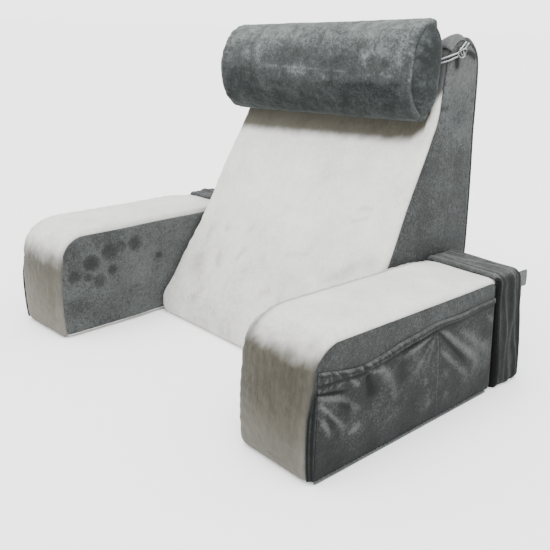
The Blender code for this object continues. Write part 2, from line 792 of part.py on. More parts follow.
def roll_section(x, shrink=0.0):
    """The neck roll's section at x, clockwise in y and z: round in front, flat against the backrest."""
    share = (x - ROLL_ENDS[0]) / (ROLL_ENDS[1] - ROLL_ENDS[0])
    level = ROLL_CENTRE[1] + ROLL_RISE * (share - 0.5)
    front = ROLL_FRONT_DEPTHS[0] + share * (ROLL_FRONT_DEPTHS[1] - ROLL_FRONT_DEPTHS[0])
    section = []
    for step in range(28):
        turn = math.tau * step / 28
        depth, power = (front, 0.92) if math.cos(turn) >= 0 else (ROLL_BACK_DEPTH, 0.45)
        forward = (depth - shrink) * math.copysign(abs(math.cos(turn)) ** power, math.cos(turn))
        up = (ROLL_HALF_HEIGHT - shrink) * math.copysign(abs(math.sin(turn)) ** 0.92, math.sin(turn))
        y, z = ROLL_CENTRE[0] - forward + ROLL_LEAN * up, level + up
        section.append((min(y, front_of_backrest(z) - ROLL_CLEARANCE) if z < BACK_FRONT[-1][1] else y, z))
    return section


def roll_ring(x, shrink, scale=1.0):
    section = roll_section(x, shrink)
    middle = (ROLL_MIDDLE_Y, sum(z for _, z in section) / len(section))
    return [(x, middle[0] + scale * (y - middle[0]), middle[1] + scale * (z - middle[1])) for y, z in section]


def make_neck_roll(grey, dark):
    seam = ROLL_SEAM_RADIUS
    low, high = ROLL_ENDS
    stations = [(low, seam), (low + 0.002, 0.002), (low + seam, 0.0)]
    for share in (0.2, 0.4, 0.6, 0.8):
        stations.append((low + share * (high - low), 0.0))
    stations += [(high - seam, 0.0), (high - 0.002, 0.002), (high, seam)]
    rings = [roll_ring(low, seam, 0.5)]
    rings += [roll_ring(x, shrink) for x, shrink in stations]
    rings += [roll_ring(high, seam, 0.5)]
    levels = [ROLL_CENTRE[1] + side * ROLL_RISE / 2 for side in (-1, 1)]
    lofted("neck_roll", rings, (low, ROLL_MIDDLE_Y, levels[0]), (high, ROLL_MIDDLE_Y, levels[1]), grey)
    for side, seat, level, word in ((-1, low, levels[0], "left"), (1, high, levels[1], "right")):
        near = seat + side * GAP
        rim = near + side * 0.0015
        outer = []
        inner = []
        for scale in (0.4, 0.7, 0.86, 0.95, 0.985):
            crown = ROLL_END_CROWN * (1 - scale**6)
            ring = roll_ring(seat, seam, scale)
            outer.append([(rim + side * crown, y, z) for _, y, z in ring])
            inner.append([(near, y, z) for _, y, z in ring])
        ends = (rim + side * ROLL_END_CROWN, ROLL_MIDDLE_Y, level), (near, ROLL_MIDDLE_Y, level)
        lofted(f"neck_roll_end_{word}", outer + inner[::-1], *ends, dark)


def make_knot(side, word, material):
    """The knot that joins the strands from the neck roll to those from the backrest's top seam."""
    rings = []
    steps = 12
    for row in (-0.85, -0.45, 0.0, 0.45, 0.85):
        ring = []
        for step in range(steps):
            turn = math.tau * step / steps
            width = math.sqrt(1 - row**2) * (1 + 0.10 * math.cos(3 * turn + 4 * row))
            ring.append((
                side * (KNOT_CENTRE[0] + KNOT_RADII[0] * width * math.cos(turn)),
                KNOT_CENTRE[1] + KNOT_RADII[1] * row,
                KNOT_CENTRE[2] + KNOT_RADII[2] * width * math.sin(turn) + KNOT_SLANT * row,
            ))
        rings.append(ring)
    ends = []
    for end in (-1, 1):
        y, z = KNOT_CENTRE[1] + end * KNOT_RADII[1], KNOT_CENTRE[2] + end * KNOT_SLANT
        ends.append((side * KNOT_CENTRE[0], y, z))
    lofted(f"tie_{word}_knot", rings, *ends, material)


def main():
    clear_scene()
    white = make_material("white_plush", COLOURS["white_plush"], 0.95)
    grey = make_material("grey_velour", COLOURS["grey_velour"], 0.85)
    dark = make_material("dark_velour", COLOURS["dark_velour"], 0.85)
    satin = make_material("cord", COLOURS["cord"], 0.45)
    make_backrest(white, grey)
    make_neck_roll(grey, dark)
    for name in ARMS:
        make_arm(name, white, grey)
        make_band(name, dark)
        make_pocket(name, dark)
        make_pocket_edges(name, dark, grey)
    make_band_end(dark)
    for name, route in TIE_ROUTES.items():
        cord(f"tie_{name}", smooth_path(route, 2), CORD_RADIUS, satin)
    for side, word in ((1, "right"), (-1, "left")):
        make_knot(side, word, satin)


main()
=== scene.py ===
"""The looks of the reading pillow with arms: plush and velour covers, folds, seams and ties, around its frame.

Units are metres. x is to the viewer's right, -y points at the viewer and z is up. An arm's own frame is
across (from its inner side outwards), y from its front and z from the floor.
"""

import math

import bmesh
import bpy
import numpy as np
from mathutils import Matrix, Vector, kdtree, noise


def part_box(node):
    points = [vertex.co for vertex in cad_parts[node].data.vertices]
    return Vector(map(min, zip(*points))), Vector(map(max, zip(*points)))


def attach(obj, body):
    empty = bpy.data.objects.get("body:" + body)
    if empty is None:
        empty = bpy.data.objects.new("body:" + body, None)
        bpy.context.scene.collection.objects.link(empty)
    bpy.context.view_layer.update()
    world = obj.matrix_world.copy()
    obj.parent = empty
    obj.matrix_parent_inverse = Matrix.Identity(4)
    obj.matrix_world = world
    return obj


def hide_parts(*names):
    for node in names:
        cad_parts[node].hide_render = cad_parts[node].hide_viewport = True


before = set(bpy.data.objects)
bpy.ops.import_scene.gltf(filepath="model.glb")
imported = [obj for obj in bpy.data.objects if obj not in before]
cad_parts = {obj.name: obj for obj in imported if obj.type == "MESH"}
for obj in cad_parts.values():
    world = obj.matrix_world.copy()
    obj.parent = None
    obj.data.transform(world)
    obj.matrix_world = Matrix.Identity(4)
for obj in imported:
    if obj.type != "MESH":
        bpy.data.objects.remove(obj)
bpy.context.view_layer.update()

# ------------ the filling's simulation
PUFF_PRESSURE = 4.0
PUFF_FRAMES = 20
PUFF_CAP = 0.0035

# ------------ camera
PHOTO_PIXELS = 550
FOCAL_PIXELS = 726.32
SENSOR_MM = 36.0
CAMERA_AT = (0.9703, -1.0118, 0.5872)
CAMERA_YAW = 0.81171
CAMERA_PITCH = 0.32763
CAMERA_ROLL = 0.03249

# ------------ sizes shared with the frame
GAP = 0.0003
CLOTH = 0.003
SEAM_RADIUS = 0.008
ARM_WIDTH = 0.1455
ARM_HEIGHT = 0.2085
ARM_FRONT = -0.008
ARM_REAR = 0.530
ARM_FRONT_TOP_RADIUS = 0.056
ARM_REAR_TOP_RADIUS = 0.044
ARM_FOOT_RADIUS = 0.014
ARM_SIDE_CROWN = 0.003
ARM_CROWN = 0.0055
ARM_PINCH = 0.004
BAND_TOP = (0.427, 0.486)
BAND_FOOT = (0.450, 0.521)
POCKET_FRONT = 0.004
POCKET_FOOT = 0.005
HEM_REAR_HEIGHT = 0.180
POCKET_REAR_MARGIN = 0.0040
CORD_RADIUS = 0.0016

# Arm name: x and y of its front inner corner, turn about Z, +1 where its outer side faces +X, press
ARMS = {
    "right": (0.2525, -0.3900, -0.0060, 1, 0.0000),
    "left": (-0.2447, -0.4098, 0.0490, -1, 0.0035),
}


# ------------ small maths
def mm(*rows, lengths=None):
    """Rows of numbers as an array; the first ones of each row, or all, are millimetres and become metres."""
    table = np.array(rows, float)
    table[:, :lengths] /= 1000
    return table.round(9)


def smooth(value, low, high):
    """A soft step: 0 up to low and 1 from high on."""
    step = np.clip((np.asarray(value, float) - low) / (high - low), 0.0, 1.0)
    return step * step * (3 - 2 * step)


def between(value, low, full, fade, high):
    """1 from full to fade, with soft steps up from 0 at low and down to 0 at high."""
    return smooth(value, low, full) * (1 - smooth(value, fade, high))


def bump(value, centre, half_width):
    """A soft bump: 1 at the centre and about a third at half_width from it."""
    return np.exp(-(((np.asarray(value, float) - centre) / half_width) ** 2))


def unit(vectors):
    return vectors / np.linalg.norm(vectors, axis=-1)[..., None]


def run_along(path):
    """How far each point of a path is from its start, along the path."""
    return np.concatenate([[0], np.cumsum(np.linalg.norm(np.diff(path, axis=0), axis=1))])


def catmull(points, count):
    """count points at even arc length along a smooth curve through points."""
    ends = np.array([points[0], *points, points[-1]], float)
    t = np.linspace(0, 1, 17)[:-1, None]
    pieces = []
    for a, b, c, d in zip(ends, ends[1:], ends[2:], ends[3:]):
        square, cube = 2 * a - 5 * b + 4 * c - d, 3 * b - a - 3 * c + d
        pieces.append(0.5 * (2 * b + (c - a) * t + square * t**2 + cube * t**3))
    path = np.vstack([*pieces, ends[-1:]])
    run = run_along(path)
    at = np.linspace(0, run[-1], count)
    return np.column_stack([np.interp(at, run, column) for column in path.T])


def arc(centre, radius, start, end, count):
    """count points along a circle, from one angle in degrees to another."""
    turn = np.radians(np.linspace(start, end, count))
    return np.column_stack([centre[0] + radius * np.cos(turn), centre[1] + radius * np.sin(turn)])


def cloud(points, scale, seed, octaves=2):
    """Smooth noise of about -1 to 1 at each point of a grid or list; scale is cycles per metre."""
    offset = Vector((seed * 7.31, seed * 3.17, seed * 5.77))
    values = [noise.fractal(Vector(p) * scale + offset, 1.0, 2.0, octaves) for p in points.reshape(-1, 3)]
    return np.reshape(values, points.shape[:-1])


def flat_grid(y, z, x=0.0):
    """Points for the noise of a flat panel."""
    return np.stack([y, z, np.full_like(y, x)], -1)


def from_arm(name, points):
    """World points of an arm's own points."""
    x, y, turn, outward, _ = ARMS[name]
    points = np.asarray(points, float)
    across, back = outward * points[..., 0], points[..., 1]
    cosine, sine = math.cos(turn), math.sin(turn)
    return np.stack([x + cosine * across - sine * back, y + sine * across + cosine * back, points[..., 2]], -1)


def to_arm(name, points):
    """An arm's own points of world points."""
    x, y, turn, outward, _ = ARMS[name]
    points = np.asarray(points, float)
    dx, dy = points[..., 0] - x, points[..., 1] - y
    cosine, sine = math.cos(turn), math.sin(turn)
    return np.stack([outward * (cosine * dx + sine * dy), -sine * dx + cosine * dy, points[..., 2]], -1)


# ------------ meshes
def add_object(name, data):
    item = bpy.data.objects.new(name, data)
    bpy.context.scene.collection.objects.link(item)
    return item


def new_mesh(name, points, faces, material, tone=None):
    mesh = bpy.data.meshes.new(name)
    mesh.from_pydata(points.reshape(-1, 3).tolist(), [], faces)
    piece = add_object(name, mesh)
    finish_mesh(piece, material, tone)
    return piece


def edit_mesh(mesh, *changes):
    work = bmesh.new()
    work.from_mesh(mesh)
    for change in changes:
        change(work)
    work.to_mesh(mesh)
    work.free()


def face_outwards(work):
    bmesh.ops.recalc_face_normals(work, faces=work.faces)


def merge_points(work):
    bmesh.ops.remove_doubles(work, verts=work.verts, dist=1e-6)


def drop_slivers(work):
    bmesh.ops.dissolve_degenerate(work, edges=work.edges, dist=1e-7)


def finish_mesh(piece, material, tone=None):
    mesh = piece.data
    edit_mesh(mesh, face_outwards)
    mesh.shade_smooth()
    mesh.materials.clear()
    mesh.materials.append(material)
    set_layer(piece, np.zeros(len(mesh.vertices)) if tone is None else tone)


def set_layer(piece, values, layer="tone"):
    """One number per point for the materials.

    The layer tone makes cloth lighter (above 0) or darker, and in places holds painted light and shade. The layer
    of painted shade and the layer seam, both from 0 to 1, are for plush: painted shade, olive grey, on the arm
    fronts where the pile lies down and under the neck roll; and where the grey of a seam shows, which on the right
    arm's top is partly painted shade.
    """
    mesh = piece.data
    data = (mesh.attributes.get(layer) or mesh.attributes.new(layer, "FLOAT", "POINT")).data
    data.foreach_set("value", np.asarray(values, np.float32).reshape(-1))


def points_of(piece):
    values = np.empty(len(piece.data.vertices) * 3)
    piece.data.vertices.foreach_get("co", values)
    return values.reshape(-1, 3)


def normals_of(piece):
    values = np.empty(len(piece.data.vertices) * 3, np.float32)
    piece.data.vertex_normals.foreach_get("vector", values)
    return values.reshape(-1, 3).astype(float)


def set_points(piece, points):
    piece.data.vertices.foreach_set("co", np.ascontiguousarray(points, np.float32).reshape(-1))
    piece.data.update()


def relax(piece, rounds):
    """Smooths a mesh: each round moves every point halfway to the middle of its neighbours."""
    mesh = piece.data
    ends = np.empty(len(mesh.edges) * 2, np.int64)
    mesh.edges.foreach_get("vertices", ends)
    a, b = ends.reshape(-1, 2).T
    points = points_of(piece)
    count = np.bincount(np.concatenate([a, b]), minlength=len(points))[:, None]
    for _ in range(rounds):
        total = np.zeros_like(points)
        np.add.at(total, a, points[b])
        np.add.at(total, b, points[a])
        points = points + 0.5 * (total / count - points)
    set_points(piece, points)


def remeshed(node, name, voxel, material, rounds):
    """A fine even copy of a node's solid, with its facets smoothed away."""
    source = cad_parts[node].data.copy()
    edit_mesh(source, merge_points)
    piece = add_object(name, source)
    even = piece.modifiers.new("even", "REMESH")
    even.mode = "VOXEL"
    even.voxel_size = voxel
    graph = bpy.context.evaluated_depsgraph_get()
    mesh = bpy.data.meshes.new_from_object(piece.evaluated_get(graph))
    piece.modifiers.clear()
    piece.data = mesh
    finish_mesh(piece, material)
    relax(piece, rounds)
    return piece


def puffed(piece, node, held, voxel):
    """Moves a cushion's points as its cover does when it fills: held(points) is 1 at seams and bases.

    A coarse copy of the solid is filled by a cloth simulation, and no point moves further than PUFF_CAP.
    """
    work = remeshed(node, "filling", voxel, WHITE, 2)
    start = points_of(work)
    pins = held(start)
    group = work.vertex_groups.new(name="held")
    group.add([int(k) for k in np.flatnonzero(pins > 0.5)], 1.0, "REPLACE")
    cloth = work.modifiers.new("cover", "CLOTH")
    cloth.settings.vertex_group_mass = "held"
    cloth.settings.use_pressure = True
    cloth.settings.uniform_pressure_force = PUFF_PRESSURE
    cloth.settings.effector_weights.gravity = 0.0
    cloth.settings.quality = 4
    cloth.collision_settings.use_collision = False
    cloth.point_cache.frame_start, cloth.point_cache.frame_end = 1, PUFF_FRAMES
    scene = bpy.context.scene
    for frame_number in range(1, PUFF_FRAMES + 1):
        scene.frame_set(frame_number)
    shaped = work.evaluated_get(bpy.context.evaluated_depsgraph_get()).data
    end = np.empty(len(start) * 3)
    shaped.vertices.foreach_get("co", end)
    move = end.reshape(-1, 3) - start
    scene.frame_set(1)
    bpy.data.objects.remove(work)
    length = np.linalg.norm(move, axis=1)[:, None]
    move *= PUFF_CAP * np.tanh(length / PUFF_CAP) / np.maximum(length, 1e-9)
    tree = kdtree.KDTree(len(start))
    for index, point in enumerate(start):
        tree.insert(point, index)
    tree.balance()
    points = points_of(piece)
    free = 1 - held(points)
    for index in np.flatnonzero(free > 0.01):
        near = tree.find_n(points[index], 4)
        shares = np.array([1 / (gap + 1e-4) for _, _, gap in near])
        points[index] += free[index] * (shares @ move[[k for _, k, _ in near]]) / shares.sum()
    set_points(piece, points)


def numbered(rows, columns, joined=""):
    """A grid of point numbers. Where joined names rows or columns, the first one comes again after the last."""
    numbers = np.arange(rows * columns).reshape(rows, columns)
    if "columns" in joined:
        numbers = np.hstack([numbers, numbers[:, :1]])
    if "rows" in joined:
        numbers = np.vstack([numbers, numbers[:1]])
    return numbers


def quads(numbers):
    """The faces of a grid of point numbers."""
    corners = numbers[:-1, :-1], numbers[:-1, 1:], numbers[1:, 1:], numbers[1:, :-1]
    return np.stack(corners, -1).reshape(-1, 4).tolist()


def sheet(name, outer, inner, material, tone, joined=""):
    """A closed sheet between two grids of points, shaped (rows, columns, 3).

    joined is rows for a band, whose last row meets its first, and columns for a disc, whose first row is its
    centre.
    """
    numbers = numbered(*outer.shape[:2], joined)
    inside = outer.shape[0] * outer.shape[1]
    if joined == "rows":
        borders = numbers[:, 0], numbers[:, -1]
    elif joined == "columns":
        borders = (numbers[-1],)
    else:
        borders = (np.concatenate([numbers[0], numbers[1:, -1], numbers[-1, -2::-1], numbers[-2::-1, 0]]),)
    faces = quads(numbers) + quads(numbers[::-1] + inside)
    for border in borders:
        faces += quads(np.stack([border, border + inside])[:, ::-1])
    points = np.concatenate([outer.reshape(-1, 3), inner.reshape(-1, 3)])
    return new_mesh(name, points, faces, material, np.concatenate([tone.reshape(-1)] * 2))


def tube(name, path, radius, material, sides, wave=None, ring=False):
    """A round cord along a path, closed at its ends or into a ring; wave(share, turn) varies its radius."""
    if ring:
        along = unit(np.roll(path, -1, axis=0) - np.roll(path, 1, axis=0))
        side = np.cross(along, (1.0, 0.0, 0.0))
    else:
        along = unit(np.gradient(path, axis=0))
        side = np.cross(along, (0.0, 0.0, 1.0))
        steep = np.linalg.norm(side, axis=1) < 0.2
        side[steep] = np.cross(along[steep], (0.0, 1.0, 0.0))
    side = unit(side)[:, None]
    up = np.cross(side, along[:, None])
    turn = np.linspace(0, math.tau, sides, endpoint=False)
    share = np.linspace(0, 1, len(path))[:, None]
    reach = radius * (1 if wave is None else wave(share, turn)) * np.ones((len(path), sides))
    points = path[:, None] + reach[..., None] * (np.cos(turn)[:, None] * side + np.sin(turn)[:, None] * up)
    numbers = numbered(len(path), sides, "rows and columns" if ring else "columns")
    faces = quads(numbers)
    if not ring:
        faces += [numbers[0, -2::-1].tolist(), numbers[-1, :-1].tolist()]
    return new_mesh(name, points, faces, material)


# ------------ materials
def nodes_for(name):
    material = bpy.data.materials.new(name)
    material.use_nodes = True
    tree = material.node_tree
    return material, tree, tree.nodes["Principled BSDF"]


def add(tree, kind, **settings):
    node = tree.nodes.new(kind)
    for key, value in settings.items():
        setattr(node, key, value)
    return node


def set_inputs(node, values):
    for socket, value in values.items():
        node.inputs[socket].default_value = value


def noise_node(tree, scale, detail=3.0, rough=0.6, distortion=0.0, stretch=None):
    """Noise on the piece; scale is cycles per metre."""
    place = add(tree, "ShaderNodeTexCoord").outputs["Object"]
    if stretch:
        mapping = add(tree, "ShaderNodeMapping")
        mapping.inputs["Scale"].default_value = stretch
        tree.links.new(place, mapping.inputs["Vector"])
        place = mapping.outputs["Vector"]
    node = add(tree, "ShaderNodeTexNoise")
    set_inputs(node, {"Scale": scale, "Detail": detail, "Roughness": rough, "Distortion": distortion})
    tree.links.new(place, node.inputs["Vector"])
    return node.outputs["Fac"]


def maths(tree, operation, first, second, clamp=False):
    node = add(tree, "ShaderNodeMath", operation=operation, use_clamp=clamp)
    for socket, value in zip(node.inputs, (first, second)):
        if isinstance(value, (int, float)):
            socket.default_value = value
        else:
            tree.links.new(value, socket)
    return node.outputs[0]


def ramp(tree, factor, stops):
    node = add(tree, "ShaderNodeValToRGB")
    elements = node.color_ramp.elements
    while len(elements) < len(stops):
        elements.new(0.5)
    for element, (place, colour) in zip(elements, stops):
        element.position = place
        element.color = (*colour, 1.0)
    tree.links.new(factor, node.inputs["Fac"])
    return node.outputs["Color"]


def bumped(tree, shader, layers):
    """Layers of (height, distance in metres, strength), the first one lowest."""
    normal = None
    for height, distance, strength in layers:
        node = add(tree, "ShaderNodeBump")
        set_inputs(node, {"Distance": distance, "Strength": strength})
        tree.links.new(height, node.inputs["Height"])
        if normal:
            tree.links.new(normal, node.inputs["Normal"])
        normal = node.outputs["Normal"]
    tree.links.new(normal, shader.inputs["Normal"])


def layer_of(tree, layer):
    return add(tree, "ShaderNodeAttribute", attribute_name=layer).outputs["Fac"]


def varied(tree, middle, noises):
    """The piece's tone about a middle level, with each noise (value, contrast) added to it."""
    level = maths(tree, "ADD", layer_of(tree, "tone"), middle)
    for value, contrast in noises:
        part = maths(tree, "MULTIPLY", maths(tree, "SUBTRACT", value, 0.5), contrast)
        level = maths(tree, "ADD", level, part)
    return level


def mixed(tree, share, first, second):
    """The first colour where share is 0 and the second where it is 1."""
    node = add(tree, "ShaderNodeMixRGB")
    for socket, value in (("Fac", share), ("Color1", first), ("Color2", second)):
        tree.links.new(value, node.inputs[socket])
    return node.outputs["Color"]


def velour(name, dark, mid, light, patches, brushing, fuzz, sheen):
    """Short-pile velour: wide patches and brush marks where the pile leans, and a fine fuzz.

    patches, brushing and fuzz are each (cycles per metre, contrast).
    """
    material, tree, shader = nodes_for(name)
    wide = noise_node(tree, patches[0], 3.0, 0.55, 0.4)
    brushed = noise_node(tree, brushing[0], 4.0, 0.65, 0.9)
    pile = noise_node(tree, fuzz[0], 3.0, 0.75, 0.2)
    level = varied(tree, 0.5, ((wide, patches[1]), (brushed, brushing[1]), (pile, fuzz[1])))
    tree.links.new(ramp(tree, level, ((0.0, dark), (0.5, mid), (1.0, light))), shader.inputs["Base Color"])
    set_inputs(shader, {"Roughness": 0.9, "Specular IOR Level": 0.15})
    set_inputs(shader, {"Sheen Weight": sheen, "Sheen Roughness": 0.4, "Sheen Tint": (0.85, 0.95, 0.93, 1.0)})
    bumped(tree, shader, ((wide, 0.004, 0.2), (brushed, 0.0025, 0.45), (pile, 0.0012, 0.7)))
    return material


def plush(name, deep, shade, mid, light, seam):
    """White plush with short fuzz in small tufts, olive grey where shade is painted on it: on the arm fronts, where
    its pile lies down, and under the neck roll.

    deep and shade are the olive's colours, shade, mid and light the white's, and seam the two greys of a seam.
    """
    material, tree, shader = nodes_for(name)
    patches = noise_node(tree, 14.0, 3.0, 0.6, 0.4)
    tufts = noise_node(tree, 190.0, 4.0, 0.75, 0.8, (1.0, 1.0, 0.6))
    streaks = noise_node(tree, 150.0, 3.0, 0.7, 0.3, (1.0, 1.0, 0.25))
    pile = noise_node(tree, 800.0, 2.0, 0.7)
    level = varied(tree, 0.75, ((patches, 0.55), (tufts, 0.60)))
    white = ramp(tree, level, ((0.0, shade), (0.6, mid), (1.0, light)))
    level = varied(tree, 0.5, ((patches, 0.7), (streaks, 0.8), (tufts, 0.4)))
    olive = ramp(tree, level, ((0.0, deep), (1.0, shade)))
    painted_shade = layer_of(tree, "painted_shade")
    ragged = maths(tree, "MULTIPLY", painted_shade, maths(tree, "SUBTRACT", 1.0, painted_shade))
    ragged = maths(tree, "MULTIPLY", ragged, maths(tree, "SUBTRACT", tufts, 0.5))
    share = maths(tree, "ADD", painted_shade, maths(tree, "MULTIPLY", ragged, 2.4), True)
    grey = ramp(tree, level, ((0.0, seam[0]), (1.0, seam[1])))
    colour = mixed(tree, layer_of(tree, "seam"), mixed(tree, share, white, olive), grey)
    tree.links.new(colour, shader.inputs["Base Color"])
    set_inputs(shader, {"Roughness": 0.95, "Specular IOR Level": 0.1, "Sheen Weight": 0.12, "Sheen Roughness": 0.5})
    bumped(tree, shader, ((patches, 0.006, 0.15), (tufts, 0.0022, 0.55), (pile, 0.0007, 0.5)))
    return material


def satin(name, dark, mid, light):
    """Twisted silky cord."""
    material, tree, shader = nodes_for(name)
    twist = add(tree, "ShaderNodeTexWave", wave_type="BANDS", bands_direction="DIAGONAL")
    set_inputs(twist, {"Scale": 420.0, "Distortion": 1.5})
    tree.links.new(add(tree, "ShaderNodeTexCoord").outputs["Object"], twist.inputs["Vector"])
    level = varied(tree, 0.5, ((twist.outputs["Fac"], 0.4),))
    tree.links.new(ramp(tree, level, ((0.0, dark), (0.5, mid), (1.0, light))), shader.inputs["Base Color"])
    set_inputs(shader, {"Roughness": 0.35, "Sheen Weight": 0.1})
    bumped(tree, shader, ((twist.outputs["Fac"], 0.0006, 0.8),))
    return material


def lit_from_above(piece):
    """Silk that is light on its upper side."""
    set_layer(piece, 0.85 * normals_of(piece)[:, 2] - 0.10)
    return piece


WHITE = plush(
    "white plush",
    (0.030, 0.0268, 0.0188),
    (0.080, 0.0755, 0.0565),
    (0.49, 0.487, 0.466),
    (0.68, 0.681, 0.670),
    ((0.022, 0.0235, 0.023), (0.085, 0.090, 0.088)),
)
# Dark, mid and light colour, then (cycles per metre, contrast) of patches, brushing and fuzz, and the sheen
VELOURS = {
    "grey": (
        (0.0070, 0.0075, 0.0073), (0.030, 0.0322, 0.0316), (0.105, 0.112, 0.110),
        (18, 0.36), (150, 0.62), (330, 0.75), 0.08,
    ),
    "crushed": (
        (0.0085, 0.0100, 0.0098), (0.040, 0.0450, 0.0440), (0.145, 0.162, 0.158),
        (20, 0.5), (60, 0.6), (240, 1.0), 0.11,
    ),
    "dark": (
        (0.0030, 0.0033, 0.0032), (0.0150, 0.0162, 0.0159), (0.085, 0.090, 0.0885),
        (26, 0.3), (80, 0.25), (280, 0.8), 0.045,
    ),
    "cap": (
        (0.0040, 0.0050, 0.0049), (0.0165, 0.0195, 0.0190), (0.070, 0.080, 0.078),
        (30, 0.6), (90, 0.4), (250, 0.6), 0.05,
    ),
    "trim": (
        (0.0015, 0.0018, 0.0018), (0.0050, 0.0058, 0.0056), (0.026, 0.029, 0.0285),
        (60, 0.3), (150, 0.3), (400, 0.5), 0.03,
    ),
}
GREY, ROLL, DARK, CAP, TRIM = (velour(f"{name} velour", *look) for name, look in VELOURS.items())
CORD = satin("satin cord", (0.018, 0.020, 0.020), (0.16, 0.17, 0.17), (0.62, 0.64, 0.64))


# ------------ the arm's shape
def band_edge(index, z):
    """The y of the band's front edge (index 0) or rear edge (index 1) at a height."""
    share = np.clip(1 - np.asarray(z, float) / ARM_HEIGHT, 0.0, 1.0)
    return BAND_TOP[index] + share * (BAND_FOOT[index] - BAND_TOP[index])


def pinch(y, z):
    """How far the band pulls the arm's faces in."""
    return ARM_PINCH * smooth(y - band_edge(0, z), -0.013, -0.005)


def mid_height(z):
    return np.sin(math.pi * np.clip(np.asarray(z, float) / ARM_HEIGHT, 0.0, 1.0))


def inner_face(y, z, press):
    swell = between(y, 0.0, 0.05, 0.12, 0.19) * mid_height(z)
    return np.maximum(pinch(y, z), press * smooth(y, 0.16, 0.22)) - ARM_SIDE_CROWN * swell


def outer_face(y, z):
    swell = between(y, 0.0, 0.10, 0.32, 0.41) * mid_height(z)
    return ARM_WIDTH - pinch(y, z) + ARM_SIDE_CROWN * swell


def coons(top, foot, first, last, columns, rows):
    """A grid of points between four border curves. top and foot run from first to last, the others downwards."""
    top, foot = catmull(top, columns), catmull(foot, columns)
    first, last = catmull(first, rows), catmull(last, rows)
    s = np.linspace(0, 1, columns)[None, :, None]
    t = np.linspace(0, 1, rows)[:, None, None]
    ruled = (1 - t) * top[None] + t * foot[None] + (1 - s) * first[:, None] + s * last[:, None]
    corners = (1 - s) * (1 - t) * top[0] + s * (1 - t) * top[-1] + (1 - s) * t * foot[0] + s * t * foot[-1]
    return ruled - corners


def edge_distance(grid):
    """Distance of each point of a grid from the grid's border."""
    rows, columns = grid.shape[:2]
    border = np.concatenate([grid[0], grid[-1], grid[:, 0], grid[:, -1]])
    flat = grid.reshape(-1, grid.shape[2])
    nearest = np.full(len(flat), 1e9)
    for start in range(0, len(border), 16):
        part = border[start : start + 16]
        nearest = np.minimum(nearest, np.linalg.norm(flat[:, None] - part[None], axis=2).min(1))
    return nearest.reshape(rows, columns)


def arm_seam():
    """The border of an arm's side panel in y and z: top, foot, front and rear curves."""
    inset = SEAM_RADIUS
    top_radius, rear_radius = ARM_FRONT_TOP_RADIUS - inset, ARM_REAR_TOP_RADIUS - inset
    foot_radius = ARM_FOOT_RADIUS - inset * 0.5
    front, rear, height, foot = ARM_FRONT + inset, ARM_REAR - inset, ARM_HEIGHT - inset, inset
    top = list(arc((front + top_radius, height - top_radius), top_radius, 160, 90, 6))
    for y in (0.12, 0.20, 0.28, 0.35, BAND_TOP[0] - 0.014, BAND_TOP[0] - 0.003, 0.458):
        top.append((y, height - float(pinch(y, height))))
    top += list(arc((rear - rear_radius, height - ARM_PINCH - rear_radius), rear_radius, 90, 20, 3))
    low = list(arc((front + foot_radius, foot + foot_radius), foot_radius, 200, 270, 3))
    for y in (0.06, 0.12, 0.20, 0.28, 0.36, BAND_FOOT[0] - 0.014, BAND_FOOT[0] - 0.003, 0.48):
        low.append((y, foot + float(pinch(y, foot))))
    low += list(arc((rear - foot_radius, foot + ARM_PINCH + foot_radius), foot_radius, 270, 340, 3))
    first = [top[0], (front - 0.002, 0.118), (front - 0.003, 0.080), (front - 0.002, 0.045), low[0]]
    last = [top[-1], (rear + 0.001, 0.140), (rear + 0.001, 0.095), (rear + 0.001, 0.050), low[-1]]
    return top, low, first, last


def sewn_lift(away, around, puff, seed):
    """Height of a sewn panel over its backing: it rolls in at its seam, with small puckers."""
    pucker = 0.0005 * np.sin(around * 420 + 2.0 * np.sin(around * 61 + seed)) * bump(away, 0.004, 0.005)
    return CLOTH * (0.55 + 0.45 * smooth(away, 0.0, 0.007)) + puff * smooth(away, 0.0, 0.03) + pucker


def make_arm_panel(name, side):
    """side is -1 for the arm's inner panel and +1 for its outer one."""
    grid = coons(*arm_seam(), columns=150, rows=64)
    y, z = grid[..., 0], grid[..., 1]
    away = edge_distance(grid)
    soft = cloud(flat_grid(y, z), 16.0, 3 + side)
    tone = 0.10 * soft - 0.06
    if side < 0:
        word, covered = "inner", smooth(y, 0.16, 0.22)
        base = inner_face(y, z, ARMS[name][4]) + CLOTH
        # Painted light: 0.19 lifts the whole inner panel to make up for the shade it lies in
        tone += 0.19 + 0.14 * smooth(y, 0.03, 0.26) + finger_marks(y, z)
    else:
        word, covered = "outer", smooth(y, 0.32, 0.40)
        base = outer_face(y, z) - CLOTH
    waves = 0.0009 * soft * smooth(away, 0.0, 0.02) * (1 - covered)
    lift = sewn_lift(away, y + z, 0.0004, side + len(name)) + waves
    outer = from_arm(name, np.stack([base + side * lift, y, z], -1))
    inner = from_arm(name, np.stack([base, y, z], -1))
    node = f"arm_{name}_panel_{word}"
    return sheet(node + "_cloth", outer, inner, GREY, tone), node, area_of(outer)


# Marks pressed into the pile of an arm's inner side: y, z, radius, strength
FINGER_MARKS = mm(
    (60, 146, 16, 0.42), (102, 160, 17, 0.34), (165, 166, 16, 0.3), (105, 122, 10, 0.34), (75, 105, 14, 0.28),
    (52, 118, 9, 0.25), (225, 128, 7, 0.34), (130, 166, 12, 0.2), (22, 125, 12, 0.25),
    lengths=3,
)


def finger_marks(y, z):
    """The tone that the marks leave at each point."""
    tone = np.zeros_like(y)
    for mark_y, mark_z, radius, strength in FINGER_MARKS:
        away = np.hypot((y - mark_y) * 0.9, z - mark_z)
        tone -= 0.85 * strength * (1 - smooth(away, 0.45 * radius, 1.35 * radius))
    return tone


def area_of(grid):
    """Area of a grid of points, in square metres."""
    a, b, c, d = grid[:-1, :-1], grid[:-1, 1:], grid[1:, 1:], grid[1:, :-1]
    return float(0.5 * np.linalg.norm(np.cross(c - a, d - b), axis=-1).sum())
